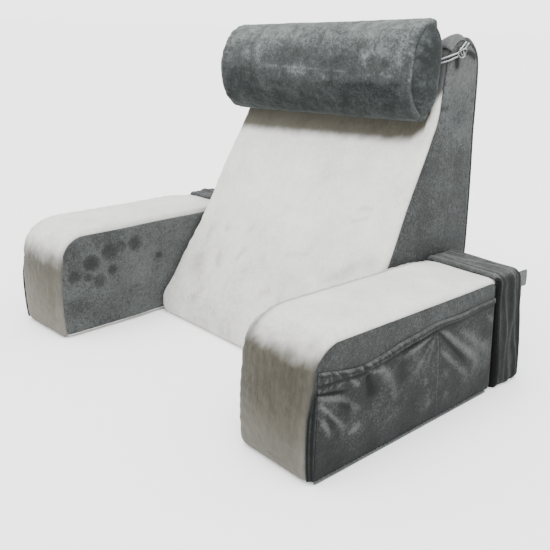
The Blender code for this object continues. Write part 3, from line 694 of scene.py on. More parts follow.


# ------------ plush cushions
# An arm's front: heights at which its painted shade starts and is full, share of painted shade at its top and foot
FRONT_SHADE_REACH = {"right": (0.2055, 0.166, 1.0, 0.965), "left": (0.200, 0.140, 0.995, 0.985)}
# Tone of the painted shade on an arm's front, by height
FRONT_SHADE_TONE = {"right": ((0.05, 0.0), (0.12, -0.38)), "left": ((0.03, 0.45), (0.08, 0.15), (0.13, -0.22))}
ARM_VOXEL = 0.0038
BACK_VOXEL = 0.0042
ARM_FILLING_VOXEL = 0.0085
BACK_FILLING_VOXEL = 0.012


def inward_of(across):
    """How far a point is from the nearer side of its arm."""
    return np.minimum(across, ARM_WIDTH - across)


def arm_held(own):
    """An arm's cover is held at its seams, its foot and under its band."""
    across, y, z = own.T
    free = smooth(z, 0.003, 0.015) * (1 - smooth(y, BAND_TOP[0] - 0.03, BAND_TOP[0] - 0.012))
    return 1 - smooth(inward_of(across), 0.004, 0.016) * free


def make_arm_core(name):
    """An arm's filled plush cover, with painted shade on its front, olive grey where its pile lies down."""
    node = f"arm_{name}"
    piece = remeshed(node, node + "_plush", ARM_VOXEL, WHITE, 3)
    puffed(piece, node, lambda points: arm_held(to_arm(name, points)), ARM_FILLING_VOXEL)
    points, normals = points_of(piece), normals_of(piece)
    own = to_arm(name, points)
    across, y, z = own.T
    inward = inward_of(across)
    broad = cloud(own, 11.0, 5)
    tufts = cloud(own, 95.0, 8)
    pucker = bump(inward, 0.010, 0.006) * np.sin((y + z) * 260 + 3 * np.sin((y - z) * 37))
    fuzz = (0.0004 + 0.0006 * (1 - smooth(y, 0.02, 0.07))) * tufts
    lift = smooth(z, 0.004, 0.02) * (smooth(inward, 0.002, 0.012) * (0.0012 * broad + fuzz) + 0.0005 * pucker)
    points += normals * lift[:, None]
    along = between(y, 0.015, 0.07, BAND_TOP[0] - 0.07, BAND_TOP[0] - 0.014)
    points[:, 2] += ARM_CROWN * smooth(inward, 0.0, 0.011) * along * smooth(normals[:, 2], 0.0, 0.6)
    points[:, 2] = np.maximum(points[:, 2], 0.0)
    set_points(piece, points)
    ahead = -(normals @ from_arm_turn(name))
    facing = np.clip(ahead / np.maximum(np.hypot(ahead, normals[:, 2]), 1e-6), 0, 1) * (1 - smooth(y, 0.05, 0.08))
    start, end, high, low = FRONT_SHADE_REACH[name]
    combed = cloud(own * (1.0, 1.0, 0.45), 120.0, 15)
    wide_tufts = cloud(own * (1.0, 1.0, 0.6), 55.0, 13, 3)
    ragged = z - 0.0068 * wide_tufts - 0.0050 * combed - 0.0045 * cloud(own, 22.0, 14)
    # Painted shade on the arm's front, olive grey where its pile lies down, ragged at its upper edge
    painted_shade = (1 - smooth(ragged, end, start)) * smooth(facing, 0.10, 0.45)
    painted_shade *= (low + (high - low) * smooth(z, 0.03, 0.12)) * (1 - 0.08 * bump(inward, 0.0, 0.012))
    set_layer(piece, painted_shade, "painted_shade")
    # On the right arm, a grey seam line along the top near its inner edge, partly painted shade where the top shows
    # against the backrest
    if name == "right":
        set_layer(piece, 0.62 * bump(across, 0.0145, 0.0055) * smooth(normals[:, 2], 0.2, 0.6), "seam")
    # How dark the painted shade on the front is at each height
    shade_level = np.interp(z, *np.transpose(FRONT_SHADE_TONE[name]))
    tone = 0.22 * bump(ragged, 0.5 * (start + end), 0.010) * combed + 0.04 * broad + facing * shade_level
    set_layer(piece, tone)
    return piece, node


def from_arm_turn(name):
    """The direction in which an arm runs back from its front."""
    turn = ARMS[name][2]
    return np.array((-math.sin(turn), math.cos(turn), 0.0))


# Where the painted shadow under the neck roll starts on the front panel: x and height
ROLL_SHADE = mm((-250, 384), (-200, 387), (0, 397), (150, 404), (200, 410.5), (221, 428), (230, 480), (250, 500))
# Faint smudges in the front panel's pile: start (x, z), end (x, z), half width, tone
PANEL_MARKS = mm(
    (-186, 120, -160, 95, 19, -0.17), (-135, 145, -125, 133, 7.5, -0.17), (-74, 167, -82, 151, 6.2, -0.22),
    (-150, 195, -149, 194, 6.4, -0.22), (-196, 184, -191, 161, 8.5, -0.16), (-14, 171, -13, 162, 6.2, -0.13),
    (-78, 217, -83, 199, 8, -0.1), (-141, 80, -155, 60, 8.5, -0.13), (20, 110, 35, 120, 7.5, -0.18),
    (36, 186, 83, 194, 5, -0.12), (161, 290, 184, 294, 3.6, -0.22), (152, 266, 179, 276, 3.6, -0.2),
    (-77, 303, -75, 300, 4.8, -0.13), (-17, 257, -3, 263, 6, -0.1), (55, 335, 124, 352, 15, -0.09),
    (142, 164, 220, 211, 11, -0.12), (20, 290, 80, 300, 50, 0.08),
    lengths=5,
)


def marks_at(first, second, marks):
    """The tone that soft-edged lines (start, end, half width, tone) leave at each point."""
    tone = np.zeros_like(first)
    for start_a, start_b, end_a, end_b, half, strength in marks:
        run = np.array((end_a - start_a, end_b - start_b))
        along = np.clip(((first - start_a) * run[0] + (second - start_b) * run[1]) / (run @ run), 0, 1)
        gap = np.hypot(first - start_a - along * run[0], second - start_b - along * run[1])
        tone += strength * np.exp(-((gap / half) ** 2))
    return tone


def back_held(points):
    """The backrest is free only on its front panel, below the neck roll and inside its seams."""
    x, y, z = points.T
    line = np.interp(z, *BACK_FRONT.T[::-1])
    near = 1 - smooth(y - line, 0.004, 0.014)
    side = smooth(0.245 - np.abs(x), 0.004, 0.022)
    return 1 - near * side * between(z, 0.004, 0.02, 0.40, 0.43)


def make_back_core():
    """The backrest's filled plush cover, with the neck roll's shadow painted on its front panel."""
    piece = remeshed("backrest", "backrest_plush", BACK_VOXEL, WHITE, 3)
    puffed(piece, "backrest", back_held, BACK_FILLING_VOXEL)
    points, normals = points_of(piece), normals_of(piece)
    x, y, z = points.T
    front = smooth(-normals[:, 1], 0.1, 0.6)
    free = front * between(z, 0.004, 0.03, 0.42, 0.46)
    broad = cloud(points, 6.0, 21)
    fine = cloud(points, 60.0, 23)
    stain = cloud(points, 9.0, 27, 3)
    pucker = np.sin((z - 0.4 * y) * 210 + 3 * np.sin(z * 41)) * bump(0.25 - np.abs(x), 0.004, 0.010)
    points = points + normals * (free * (0.0022 * broad + 0.0004 * fine + 0.0007 * pucker))[:, None]
    points[:, 2] = np.maximum(points[:, 2], 0.0)
    set_points(piece, points)
    # The height at which the neck roll's painted shadow starts, by x
    shade_level = np.interp(x, *ROLL_SHADE.T) + 0.002 * fine
    set_layer(piece, smooth(np.abs(x), 0.222, 0.230) * smooth(z, 0.484, 0.498), "seam")
    # Painted shadow of the neck roll on the front panel, olive grey
    set_layer(piece, 0.985 * front * smooth(z, shade_level - 0.012, shade_level + 0.010), "painted_shade")
    tone = -0.07 * np.clip(stain, 0, 1) - 0.20 * front * (1 - smooth(z, 0.04, 0.26))
    set_layer(piece, tone + front * marks_at(x + 0.002 * fine, z + 0.003 * fine, PANEL_MARKS))
    return piece, "backrest"


# ------------ backrest panels
# The backrest's side outline in y and z, each part upwards or backwards
BACK_FRONT = mm(
    (-174, 0), (-181.2, 13), (-183, 33), (-176, 53), (-159, 76), (-116, 144), (-71, 212), (-25, 308), (5, 362),
    (31, 410), (47.5, 446), (53, 489), (56.5, 525), (60, 550),
)
BACK_TOP = mm((69, 566.5), (86, 580.5), (106, 585), (130, 579), (149, 565))
BACK_REAR = mm(
    (150, 0), (164.5, 16), (169, 70), (171.5, 180), (171.5, 300), (169.5, 420), (165.5, 510), (160, 547),
)
# Half the backrest's width by height, on its left (-1) and right side
HALF_HEIGHTS = (0.00, 0.10, 0.21, 0.31, 0.42, 0.60)
HALF_WIDTHS = {
    -1: (0.2600, 0.2585, 0.2535, 0.2465, 0.2415, 0.2395),
    1: (0.2536, 0.2534, 0.2522, 0.2480, 0.2420, 0.2400),
}
TIE_NOTCH, TIE_Y = 0.006, 0.1165
TOP_SAG = 0.014
TOP_CORNERS = (0.195, 0.229)  # distances from the middle between which the top rises to its corners
BACK_CROWN = 0.004


def half_width(side, z):
    return np.interp(z, HALF_HEIGHTS, HALF_WIDTHS[side])


def notched(points):
    """The backrest's points with the top's sag and the dip where the ties leave its seam."""
    x, y, z = np.moveaxis(points, -1, 0)
    corner = smooth(np.abs(x), *TOP_CORNERS)
    dip = TIE_NOTCH * bump(y, TIE_Y, 0.008) * corner + TOP_SAG * (1 - corner)
    return np.stack([x, y, z - dip * smooth(z, 0.545, 0.575)], -1)


def inset_curve(curve, distance):
    """A y and z curve moved to its right-hand side, seen with +y to the right and +z up."""
    along = unit(np.gradient(curve, axis=0))
    return curve + distance * np.column_stack([along[:, 1], -along[:, 0]])


def back_outline():
    """The whole side outline from the foot of the front, over the top, to the foot of the back."""
    return catmull([*BACK_FRONT, *BACK_TOP, *BACK_REAR[::-1]], 420)


# Pressed and brushed lines on the side panels: start (y, z), end (y, z), half width, tone
SIDE_MARKS = mm(
    (88, 548, 90.5, 536, 4.8, -1.2), (117, 561, 144, 550, 4.2, -1.1), (118, 570, 132, 560, 5, 0.16),
    (60, 464, 76, 466, 3, -0.25), (70, 515, 76, 490, 12, 0.1),
    lengths=5,
)


def make_back_side(side):
    """A side panel of the backrest, sewn in round its edge; side is -1 for the left one."""
    inset = SEAM_RADIUS
    curve = inset_curve(back_outline(), inset)
    curve = curve[curve[:, 1] > inset * 0.9]
    peak = int(np.argmax(curve[:, 1]))
    front, rear = curve[: peak - 18], curve[peak + 18 :][::-1]
    foot = np.column_stack([np.linspace(front[0, 0], rear[0, 0], 12), np.full(12, inset)])
    grid = coons(front, rear, foot, curve[peak - 19 : peak + 19], columns=170, rows=70)
    y, z = grid[..., 0], grid[..., 1]
    away = edge_distance(grid)
    soft = cloud(flat_grid(y, z, side), 12.0, 31)
    base = half_width(side, z) - CLOTH
    waves = 0.0012 * soft * smooth(away, 0.0, 0.03) * smooth(z, 0.2, 0.26)
    lift = sewn_lift(away, y * 0.5 + z, 0.0006, side) + waves
    outer = notched(np.stack([side * (base + lift), y, z], -1))
    inner = notched(np.stack([side * base, y, z], -1))
    tone = 0.12 * soft + 0.16 * smooth(z, 0.34, 0.50) + 0.05 * smooth(-y, -0.02, 0.06) + marks_at(y, z, SIDE_MARKS)
    node = "backrest_panel_" + ("left" if side < 0 else "right")
    return sheet(node + "_cloth", outer, inner, GREY, tone), node, area_of(outer)


BACK_WRAP = 0.06  # share of the back panel's width that turns round each side seam


def make_back_panel():
    """The grey cover over the top and down the back, wrapped over the side seams."""
    curve = back_outline()
    curve = curve[(curve[:, 0] > 0.0655) & (curve[:, 1] > 0.014)]
    rows, columns = 110, 130
    curve = catmull(curve[:: max(1, len(curve) // 60)], rows)
    along = unit(np.gradient(curve, axis=0))
    out = np.column_stack([-along[:, 1], along[:, 0]])
    y, z = curve.T
    crown = BACK_CROWN * 0.6 * smooth(y, 0.14, 0.16) * between(z, 0.03, 0.10, 0.50, 0.56)
    share = np.linspace(0, 1, columns)
    inset = CLOTH + GAP + SEAM_RADIUS
    grids = []
    for lift in (GAP + CLOTH, GAP):
        grid = np.empty((rows, columns, 3))
        for column, at in enumerate(share):
            side = -1 if at < 0.5 else 1
            turn = max(0.0, (BACK_WRAP - min(at, 1 - at)) / BACK_WRAP) * 0.94 * math.pi / 2
            if turn == 0:
                across = (at - BACK_WRAP) / (1 - 2 * BACK_WRAP)
                place = curve + (crown * (1 - (2 * across - 1) ** 2) + lift)[:, None] * out
                start, end = inset - half_width(-1, place[:, 1]), half_width(1, place[:, 1]) - inset
                x = start + across * (end - start)
            else:
                radius = SEAM_RADIUS + lift
                place = curve + (radius * math.cos(turn) - SEAM_RADIUS) * out
                x = side * (half_width(side, place[:, 1]) - inset + radius * math.sin(turn))
            grid[:, column] = np.column_stack([x, place])
        grids.append(notched(grid))
    outer, inner = grids
    soft = cloud(outer, 9.0, 41)
    middle = smooth(np.minimum(share, 1 - share), BACK_WRAP, BACK_WRAP + 0.05)
    outer[..., 1:] += (0.0018 * (soft + 0.6) * middle)[..., None] * out[:, None]
    x, y = np.abs(outer[..., 0]), outer[..., 1]
    lobe = smooth(x, 0.19, 0.215) * (1 - smooth(y, 0.105, 0.112))
    # Painted shade in the crease where the tie pulls the top in
    tone = 0.10 * soft + 0.34 * lobe - 0.45 * bump(y, TIE_Y, 0.004) * smooth(x, 0.20, 0.23)
    return sheet("backrest_panel_back_cloth", outer, inner, GREY, tone), "backrest_panel_back", area_of(outer)


# ------------ neck roll
ROLL_ENDS = (-0.262, 0.2235)
ROLL_MIDDLE_Y = 0.0225
ROLL_LEVEL = 0.5170
ROLL_VOXEL = 0.0034

# Brushed patches on the neck roll: x, angle above its front, half width, half angle, strength
ROLL_MARKS = (
    (-0.035, -6, 0.050, 14, 0.22), (0.040, -16, 0.035, 9, 0.18), (0.120, 38, 0.014, 16, 0.24),
    (0.150, 50, 0.030, 12, 0.16), (0.150, -2, 0.045, 9, 0.16), (-0.115, 5, 0.020, 12, 0.14),
    (-0.170, 30, 0.030, 20, 0.14), (-0.205, -25, 0.045, 28, -0.22), (0.115, -30, 0.060, 12, -0.24),
    (-0.060, 36, 0.060, 14, -0.14), (0.195, 30, 0.030, 25, 0.14), (0.060, 28, 0.030, 14, -0.12),
)


def make_roll():
    """The neck roll, gathered at its ends and crushed in patches."""
    piece = remeshed("neck_roll", "neck_roll_velour", ROLL_VOXEL, ROLL, 4)
    points, normals = points_of(piece), normals_of(piece)
    x, y, z = points.T
    right = ROLL_ENDS[1] - x
    end = np.minimum(x - ROLL_ENDS[0], right)
    turn = np.arctan2(z - ROLL_LEVEL, ROLL_MIDDLE_Y - y)
    front = smooth(-normals[:, 1] + 0.3 * np.abs(normals[:, 2]), 0.0, 0.5)
    body = smooth(end, 0.0, 0.02)
    crush = cloud(points, 55.0, 51, 3)
    broad = cloud(points, 10.0, 53)
    gather = np.sin(turn * 34 + 2.5 * np.sin(turn * 7)) * bump(end, 0.006, 0.016)
    lift = front * (body * (0.0008 * crush + 0.0016 * broad) + 0.0009 * gather)
    set_points(piece, points + normals * lift[:, None])
    # Painted light and shade: the roll's top lighter and its underside darker
    upper = smooth(normals[:, 2], -0.6, 0.8)
    tone = -0.42 + 0.62 * upper + 0.12 * crush + 0.06 * broad
    tone += 0.30 * bump(right, 0.001, 0.0045) * (1 - smooth(turn, 0.5, 1.2))
    crease = bump(z, 0.5185, 0.0020) * between(x, -0.12, -0.10, 0.07, 0.10)
    tone += 0.16 * crease * (y < ROLL_MIDDLE_Y)
    for mark_x, mark_turn, half_x, half_turn, strength in ROLL_MARKS:
        away = np.hypot((x - mark_x) / half_x, (turn - math.radians(mark_turn)) / math.radians(half_turn))
        tone += strength * np.exp(-(away**2)) * (1 + 0.6 * crush)
    set_layer(piece, tone)
    return piece, "neck_roll"


CAP_PUFF = 0.005  # how far the right disc stands proud of its solid
CAP_DROP = 0.0015
CAP_EDGE = 0.0012  # thickness at the seam
CAP_SLOTS = 40  # parts of a turn in which the disc's rim is measured


def make_roll_end(side):
    """A round-cornered disc of velour, puffed, with wrinkles that run out to its seam."""
    node = "neck_roll_end_" + ("left" if side < 0 else "right")
    low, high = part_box(node)
    cad = np.array([v.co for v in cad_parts[node].data.vertices])
    seat = high.x if side < 0 else low.x
    middle_y, middle_z = (low.y + high.y) / 2, (low.z + high.z) / 2
    rim = cad[np.abs(cad[:, 0] - seat) < 0.0002, 1:] - (middle_y, middle_z)
    slot = np.round((np.arctan2(rim[:, 1], rim[:, 0]) + math.pi) / math.tau * CAP_SLOTS).astype(int) % CAP_SLOTS
    reach = np.zeros(CAP_SLOTS)
    np.maximum.at(reach, slot, np.hypot(*rim.T))
    known = np.flatnonzero(reach)
    at = known * math.tau / CAP_SLOTS - math.pi
    turn = np.linspace(-math.pi, math.pi, 180, endpoint=False)
    edge = np.interp(turn, np.concatenate([at - math.tau, at, at + math.tau]), np.tile(reach[known], 3))
    edge = np.convolve(np.concatenate([edge[-6:], edge, edge[:6]]), np.ones(13) / 13, "valid")
    share = np.linspace(0.0, 1.0, 26)[:, None]
    upper = bump(turn, 1.75, 0.9)
    wrinkle = np.sin(turn * 9 + 2.6 * np.sin(turn * 3)) * smooth(share, 0.35, 0.9) * (0.30 + 0.70 * upper)
    crown = (high.x - low.x - CAP_DROP) * (1 - share**4.5) + CAP_EDGE + 0.0010 * wrinkle
    if side > 0:
        crown += CAP_PUFF * (1 - share**2)
    y = middle_y + share * edge * np.cos(turn)
    z = middle_z + share * edge * np.sin(turn)
    outer = np.stack([seat + side * crown, y, z], -1)
    inner = np.stack([np.full_like(y, seat), y, z], -1)
    tone = 0.10 * wrinkle + 0.10 * share - 0.02
    piece = sheet(node + "_velour", outer, inner, CAP, tone, "columns")
    edit_mesh(piece.data, merge_points, drop_slivers)
    return piece, node


# ------------ pocket
# Folds: start (y, z), end (y, z), rise, half width, tone, a painted highlight on a ridge and painted shade in a
# hollow
POCKET_FOLDS = mm(
    (268, 160, 390, 72, 3.4, 8.5, 0.3), (260, 158, 352, 79, -1.2, 3.5, -0.34), (272, 125, 362, 50, 2.2, 7.5, 0.22),
    (320, 146, 428, 78, 1.8, 11, 0.2), (242, 157, 178, 141, 2, 4.5, 0.28), (246, 166, 172, 150, -1.2, 3, -0.3),
    (250, 155, 204, 104, 1.8, 5.5, 0.15), (250, 150, 234, 112, 1.2, 4, 0.12), (118, 150, 152, 115, 2.6, 8.5, 0.26),
    (150, 118, 168, 72, 1.8, 9, 0.14), (96, 146, 128, 136, 2, 5, 0.26), (98, 138, 114, 100, -1.6, 10, -0.5),
    (172, 136, 182, 100, -1.2, 11, -0.2), (60, 144, 84, 127, 1.8, 5.5, 0.28), (3, 133.5, 46, 121, 2.8, 5.5, 0.24),
    (44, 121, 88, 87, 1.8, 7, 0.16), (9, 120, 60, 66, 3, 5.5, 0.28), (66, 58, 90, 67, 1, 7.5, 0.24),
    (12, 98, 32, 64, 1.6, 5.5, 0.22), (44, 112, 68, 97, -1, 5.5, -0.28), (3, 138, 58, 127, -1.8, 2.4, -0.6),
    (20, 104, 38, 78, -1, 5, -0.22), (238, 88, 243, 76, 0, 6, 0.2), (252, 45, 257, 30, 0, 8, 0.16),
    (298, 46, 306, 34, 0, 8, 0.16), (285, 90, 300, 70, 0, 8, 0.1), (400, 150, 425, 135, 1, 6, 0.2),
    lengths=6,
)
POCKET_CLOTH = 0.0014
POCKET_CLEARANCE = 0.0008
# The seam down the pocket: height, y
POCKET_SEAM = mm((6, 282), (80, 270), (160, 258))
# The hem's run along the pocket: y, height of its upper edge, depth
HEM_RUN = mm(
    (0, 168.5, 18), (20, 165.5, 15), (45, 160, 11), (84, 155, 9), (126, 158, 10), (170, 165.5, 11.5),
    (216, 170, 11), (262, 174.5, 9.5), (320, 172.5, 8), (375, 174.5, 7.5), (430, 174.5, 7),
)
HEM_RUN = catmull(HEM_RUN, 200)


def folds_at(y, z):
    """The pocket's folds: how far each point stands up, and its tone: painted highlights on ridges, painted shade
    in hollows.
    """
    rise, tone = np.zeros_like(y), np.zeros_like(y)
    for start_y, start_z, end_y, end_z, height, half, shade in POCKET_FOLDS:
        run = np.array((end_y - start_y, end_z - start_z))
        length = np.linalg.norm(run)
        along = ((y - start_y) * run[0] + (z - start_z) * run[1]) / length**2
        aside = ((y - start_y) * run[1] - (z - start_z) * run[0]) / length
        taper = between(along, -0.12, 0.10, 0.65, 1.15)
        width = half * (0.7 + 0.7 * np.clip(along, 0, 1))
        shape = np.exp(-((aside / width) ** 2))
        rise += height * taper * shape
        tone += 1.15 * shade * taper * np.exp(-((aside / (0.8 * width)) ** 2))
    return rise, tone


def make_pocket(name):
    """A patch pocket with a gathered hem that sags to the front and folds that run down from it."""
    share = np.linspace(0, 1, 90)[:, None]
    end = band_edge(0, POCKET_FOOT + share * (HEM_REAR_HEIGHT - POCKET_FOOT)) - POCKET_REAR_MARGIN
    y = POCKET_FRONT + np.linspace(0, 1, 230) * (end - POCKET_FRONT)
    top, depth = (np.interp(y, HEM_RUN[:, 0], HEM_RUN[:, column]) for column in (1, 2))
    z = POCKET_FOOT + share * (top - POCKET_FOOT)
    below = top - z
    hem = 1 - smooth(below, depth - 0.0015, depth + 0.0015)
    body = 1 - hem
    edge = smooth(np.minimum(np.minimum(y - POCKET_FRONT, end - y), z - POCKET_FOOT), 0.0, 0.010)
    rise, fold_tone = folds_at(y, z)
    flat = flat_grid(y, z)
    soft = cloud(flat, 18.0, 61, 3)
    fine = cloud(flat * (1.0, 0.5, 1.0), 120.0, 63)
    crumple = cloud(flat, 85.0, 67)
    gather = np.sin(y * 430 + 4 * np.sin(y * 47) + 1.5 * np.sin(z * 160) + 3.0 * crumple)
    gather *= (1 - 0.88 * smooth(y, 0.08, 0.26)) * (0.7 + 0.9 * crumple)
    second_hem = bump(z, 0.1445 - 0.05 * y, 0.0045) * (1 - smooth(y, 0.035, 0.065)) * body
    stitch = bump(below, depth, 0.0012) + 0.7 * bump(below, 0.0045, 0.0010)
    seam = bump(y, np.interp(z, *POCKET_SEAM.T), 0.0012)
    crease = bump(below, depth + 0.0035, 0.0022) * body
    lift = POCKET_CLOTH + 0.0011 * edge
    lift += body * edge * (np.clip(rise, -0.001, 0.01) + 0.0010 * soft + 0.0002 * fine)
    lift += hem * (0.0030 * np.sqrt(np.clip(below / 0.003, 0, 1)) + 0.0008 * gather) - 0.0012 * stitch
    lift += second_hem * (0.0012 + 0.0008 * gather) + 0.0005 * body * seam
    hollow = np.clip(rise, 0, 0.01) * 0.75 * body * edge
    base = outer_face(y, z) + POCKET_CLEARANCE
    outer = from_arm(name, np.stack([base + np.maximum(lift, hollow + 0.001), y, z], -1))
    inner = from_arm(name, np.stack([base + np.maximum(hollow - 0.0012, 0), y, z], -1))
    # Painted light and shade: highlights on the folds, the gathers and the hem's top edge, and shade in the hollows
    # and in the crease under the hem
    tone = body * (fold_tone + 0.10 * soft + 0.16 * seam * edge) + hem * (0.04 + 0.16 * gather)
    tone += second_hem * (0.10 + 0.16 * gather) - 0.30 * stitch - 0.20 * crease
    tone += 0.32 * bump(below, 0.0006, 0.0012) - 0.12 * (1 - smooth(z, 0.0, 0.06))
    node = f"pocket_{name}"
    return sheet(node + "_cloth", outer, inner, DARK, tone), node, area_of(outer)


# ------------ bands
def band_path(count):
    """The band's way round an arm: across and z, outward directions, and distances along it."""
    corner = SEAM_RADIUS
    low, high = ARM_PINCH - GAP + corner, ARM_WIDTH - ARM_PINCH + GAP - corner
    top = ARM_HEIGHT - ARM_PINCH + GAP - corner
    places, normals = [], []
    for quarter, middle in enumerate(((low, top), (high, top), (high, low), (low, low))):
        start = 180 - 90 * quarter
        places.append(arc(middle, corner, start, start - 90, 12))
        normals.append(arc((0, 0), 1, start, start - 90, 12))
    places, normals = np.vstack([*places, places[0][:1]]), np.vstack([*normals, normals[0][:1]])
    run = run_along(places)
    at = np.linspace(0, run[-1], count, endpoint=False)
    path, out = (np.column_stack([np.interp(at, run, column) for column in part.T]) for part in (places, normals))
    return path, unit(out), at


# Ridges across the band: share of its width, height share, half width, how far it wanders
BAND_RIDGES = (
    (0.05, 0.90, 0.050, 0.010),
    (0.30, 0.88, 0.080, 0.060),
    (0.55, 1.00, 0.110, 0.090),
    (0.78, 0.90, 0.070, 0.050),
    (0.95, 0.92, 0.045, 0.010),
)
BAND_LEVEL = 0.66  # the band's height between its ridges, as a share of its thickness
BAND_SPREAD = 0.007  # how much wider it is than its solid
# Its thickness on the arm's outer side, what that gains at the foot, and its thickness inside and on top
BAND_OUTER, BAND_OUTER_FOOT, BAND_INNER, BAND_OVER = 0.0125, 0.0045, 0.0035, 0.011


def make_band(name):
    """The gathered band round an arm's rear, with ridges that wander along it."""
    path, out, at = band_path(260)
    across, z = path[:, :1], path[:, 1:]
    out_x, out_z = out[:, :1], out[:, 1:]
    share = np.linspace(0, 1, 56)[None]
    zero = 0 * (across + share)
    sideways = np.where(out_x > 0, BAND_OUTER + BAND_OUTER_FOOT * (1 - smooth(z, 0.02, 0.16)), BAND_INNER)
    upright = np.where(out_z > 0, BAND_OVER, ARM_PINCH - GAP)
    thick = sideways * out_x**2 + upright * out_z**2
    flat = np.maximum(smooth(-out_z, 0.3, 0.9), smooth(-out_x, 0.3, 0.9))
    shape, crest = BAND_LEVEL + zero, zero
    phase = at[:, None] * 21
    for index, (centre, height, half, wander) in enumerate(BAND_RIDGES):
        middle = centre + wander * np.sin(phase + index * 2.1) + 0.5 * wander * np.sin(phase * 2.7 + index)
        ridge = bump(share, middle, half)
        crest = np.maximum(crest, ridge)
        strong = 0.65 + 0.35 * np.sin(phase * 1.3 + 1.9 * index)
        shape = np.maximum(shape, BAND_LEVEL + (height - BAND_LEVEL) * ridge * strong)
    soft = cloud(flat_grid(at[:, None] + zero, share * 0.09 + zero), 38.0, 71)
    fall = smooth(np.minimum(share, 1 - share), -0.01, 0.05)
    lift = thick * np.maximum(shape * (0.35 + 0.65 * fall) + 0.06 * soft, 0.2)
    lift = lift * (1 - flat) + thick * flat
    front, rear = band_edge(0, z), band_edge(1, z) + BAND_SPREAD
    y = front + share * (rear - front)
    outer = np.stack([across + lift * out_x, y, np.maximum(z + lift * out_z, 0.0)], -1)
    inner = np.stack([across + zero, y, np.maximum(z + zero, 0.0)], -1)
    over, beside = smooth(out_z, 0.2, 0.9), smooth(out_x, 0.3, 0.9)
    # Painted light and shade: the top lighter and the sides darker, a painted shadow along the outer side's front
    # edge, painted highlights on the ridges, and a light and a dark painted line along the top's folded front edge
    tone = 0.20 * crest**6 + 0.10 * soft - 0.06 - (0.16 + 0.5 * bump(share, 0.0, 0.035)) * beside + 0.30 * over
    tone += over * (0.12 * bump(share, 0.05, 0.03) - 0.60 * bump(share, 0.125 + 0.01 * np.sin(phase), 0.022))
    node = f"band_{name}"
    return sheet(node + "_cloth", from_arm(name, outer), from_arm(name, inner), DARK, tone, "rows"), node


def make_band_end():
    """The short strap tab behind the right band."""
    back = np.linspace(0.0008, 0.0150, 24)[:, None]
    share = np.linspace(0, 1, 20)
    low = 0.181 - 0.002 * bump(back, 0.009, 0.006) + 0.003 * smooth(back, 0.015, 0.024)
    high = 0.206 + 0.003 * bump(back, 0.015, 0.008)
    z = low + share * (high - low)
    y = band_edge(1, z) + BAND_SPREAD + back
    across = ARM_WIDTH - 0.0015 + 0.35 * back + 0.0012 * np.sin(share * math.pi)
    across = across + 0.0008 * np.sin(back * 260 + share * 3)
    outer = from_arm("right", np.stack([across + 0.0022, y, z], -1))
    inner = from_arm("right", np.stack([across, y, z], -1))
    node = "band_right_end"
    return sheet(node + "_cloth", outer, inner, GREY, np.full(z.shape, 0.35)), node, area_of(outer)


# ------------ binding and piping
BINDING_CLOTH = 0.0030
BINDING_CLEARANCE = 0.0010
BINDING_TURN = 56  # degrees round the corner at which the strip starts
TRIM_CLEARANCE = 0.0006
PIPING_RADIUS = 0.0020
PIPING_STATIONS = (0.006, 0.090, 0.170, 0.260, 0.340, 0.425)
FRONT_DEPTHS = mm(
    (7.5, 7.2), (14, 8.4), (24, 9.6), (45, 11.3), (80, 12.4), (118, 11.4), (152.5, 8.4),
)


def make_binding(name):
    """A folded strip round the front outer corner, next to the pocket, with two rows of ribs."""
    z = np.linspace(0.0075, 0.136, 110)[:, None]
    share = np.linspace(0, 1, 26)[None]
    depth = np.interp(z, *FRONT_DEPTHS.T)
    centre_x, centre_y = ARM_WIDTH - CLOTH - GAP - SEAM_RADIUS, SEAM_RADIUS - depth
    bend = 0.55  # share of the strip's width that lies round the corner
    start = BINDING_TURN + (84 - BINDING_TURN) * smooth(z, 0.100, 0.136) ** 0.7
    turn = np.radians(start + (85 - start) * np.clip(share / bend, 0, 1))
    run = np.clip((share - bend) / (1 - bend), 0, 1)
    start_y, end_y = centre_y - 0.0010, POCKET_FRONT - 2 * GAP
    ribs = np.cos(share * 2.5 * math.tau)
    edge = smooth(np.minimum(share, 1 - share), 0.0, 0.10)
    thick = BINDING_CLOTH * (0.45 + 0.55 * edge) + (0.0006 * ribs + 0.0002 * np.sin(z * 900 + 9 * share)) * edge
    grids = []
    for lift in (thick, 0 * thick):
        radius = SEAM_RADIUS + BINDING_CLEARANCE + lift
        bent = np.stack([centre_x + radius * np.sin(turn), centre_y - radius * np.cos(turn)], -1)
        side = np.stack([ARM_WIDTH + TRIM_CLEARANCE + lift, start_y + run * (end_y - start_y)], -1)
        mix = smooth(share, bend - 0.14, bend + 0.05)[..., None]
        grids.append(from_arm(name, np.dstack([bent * (1 - mix) + side * mix, z + 0 * share])))
    node = f"binding_{name}"
    return sheet(node + "_velour", *grids, TRIM, 0.25 * ribs + 0 * z), node, area_of(grids[0])


def make_piping(name):
    across, level = ARM_WIDTH + TRIM_CLEARANCE + PIPING_RADIUS, PIPING_RADIUS + GAP
    path = from_arm(name, catmull([(across, y, level) for y in PIPING_STATIONS], 160))
    piping = tube(f"piping_{name}_velour", path, PIPING_RADIUS, GREY, 12, piping_wave)
    set_layer(piping, np.full(len(piping.data.vertices), 0.22))
    return piping, f"piping_{name}"


def piping_wave(share, turn):
    return 1 + 0.05 * np.sin(700 * share)


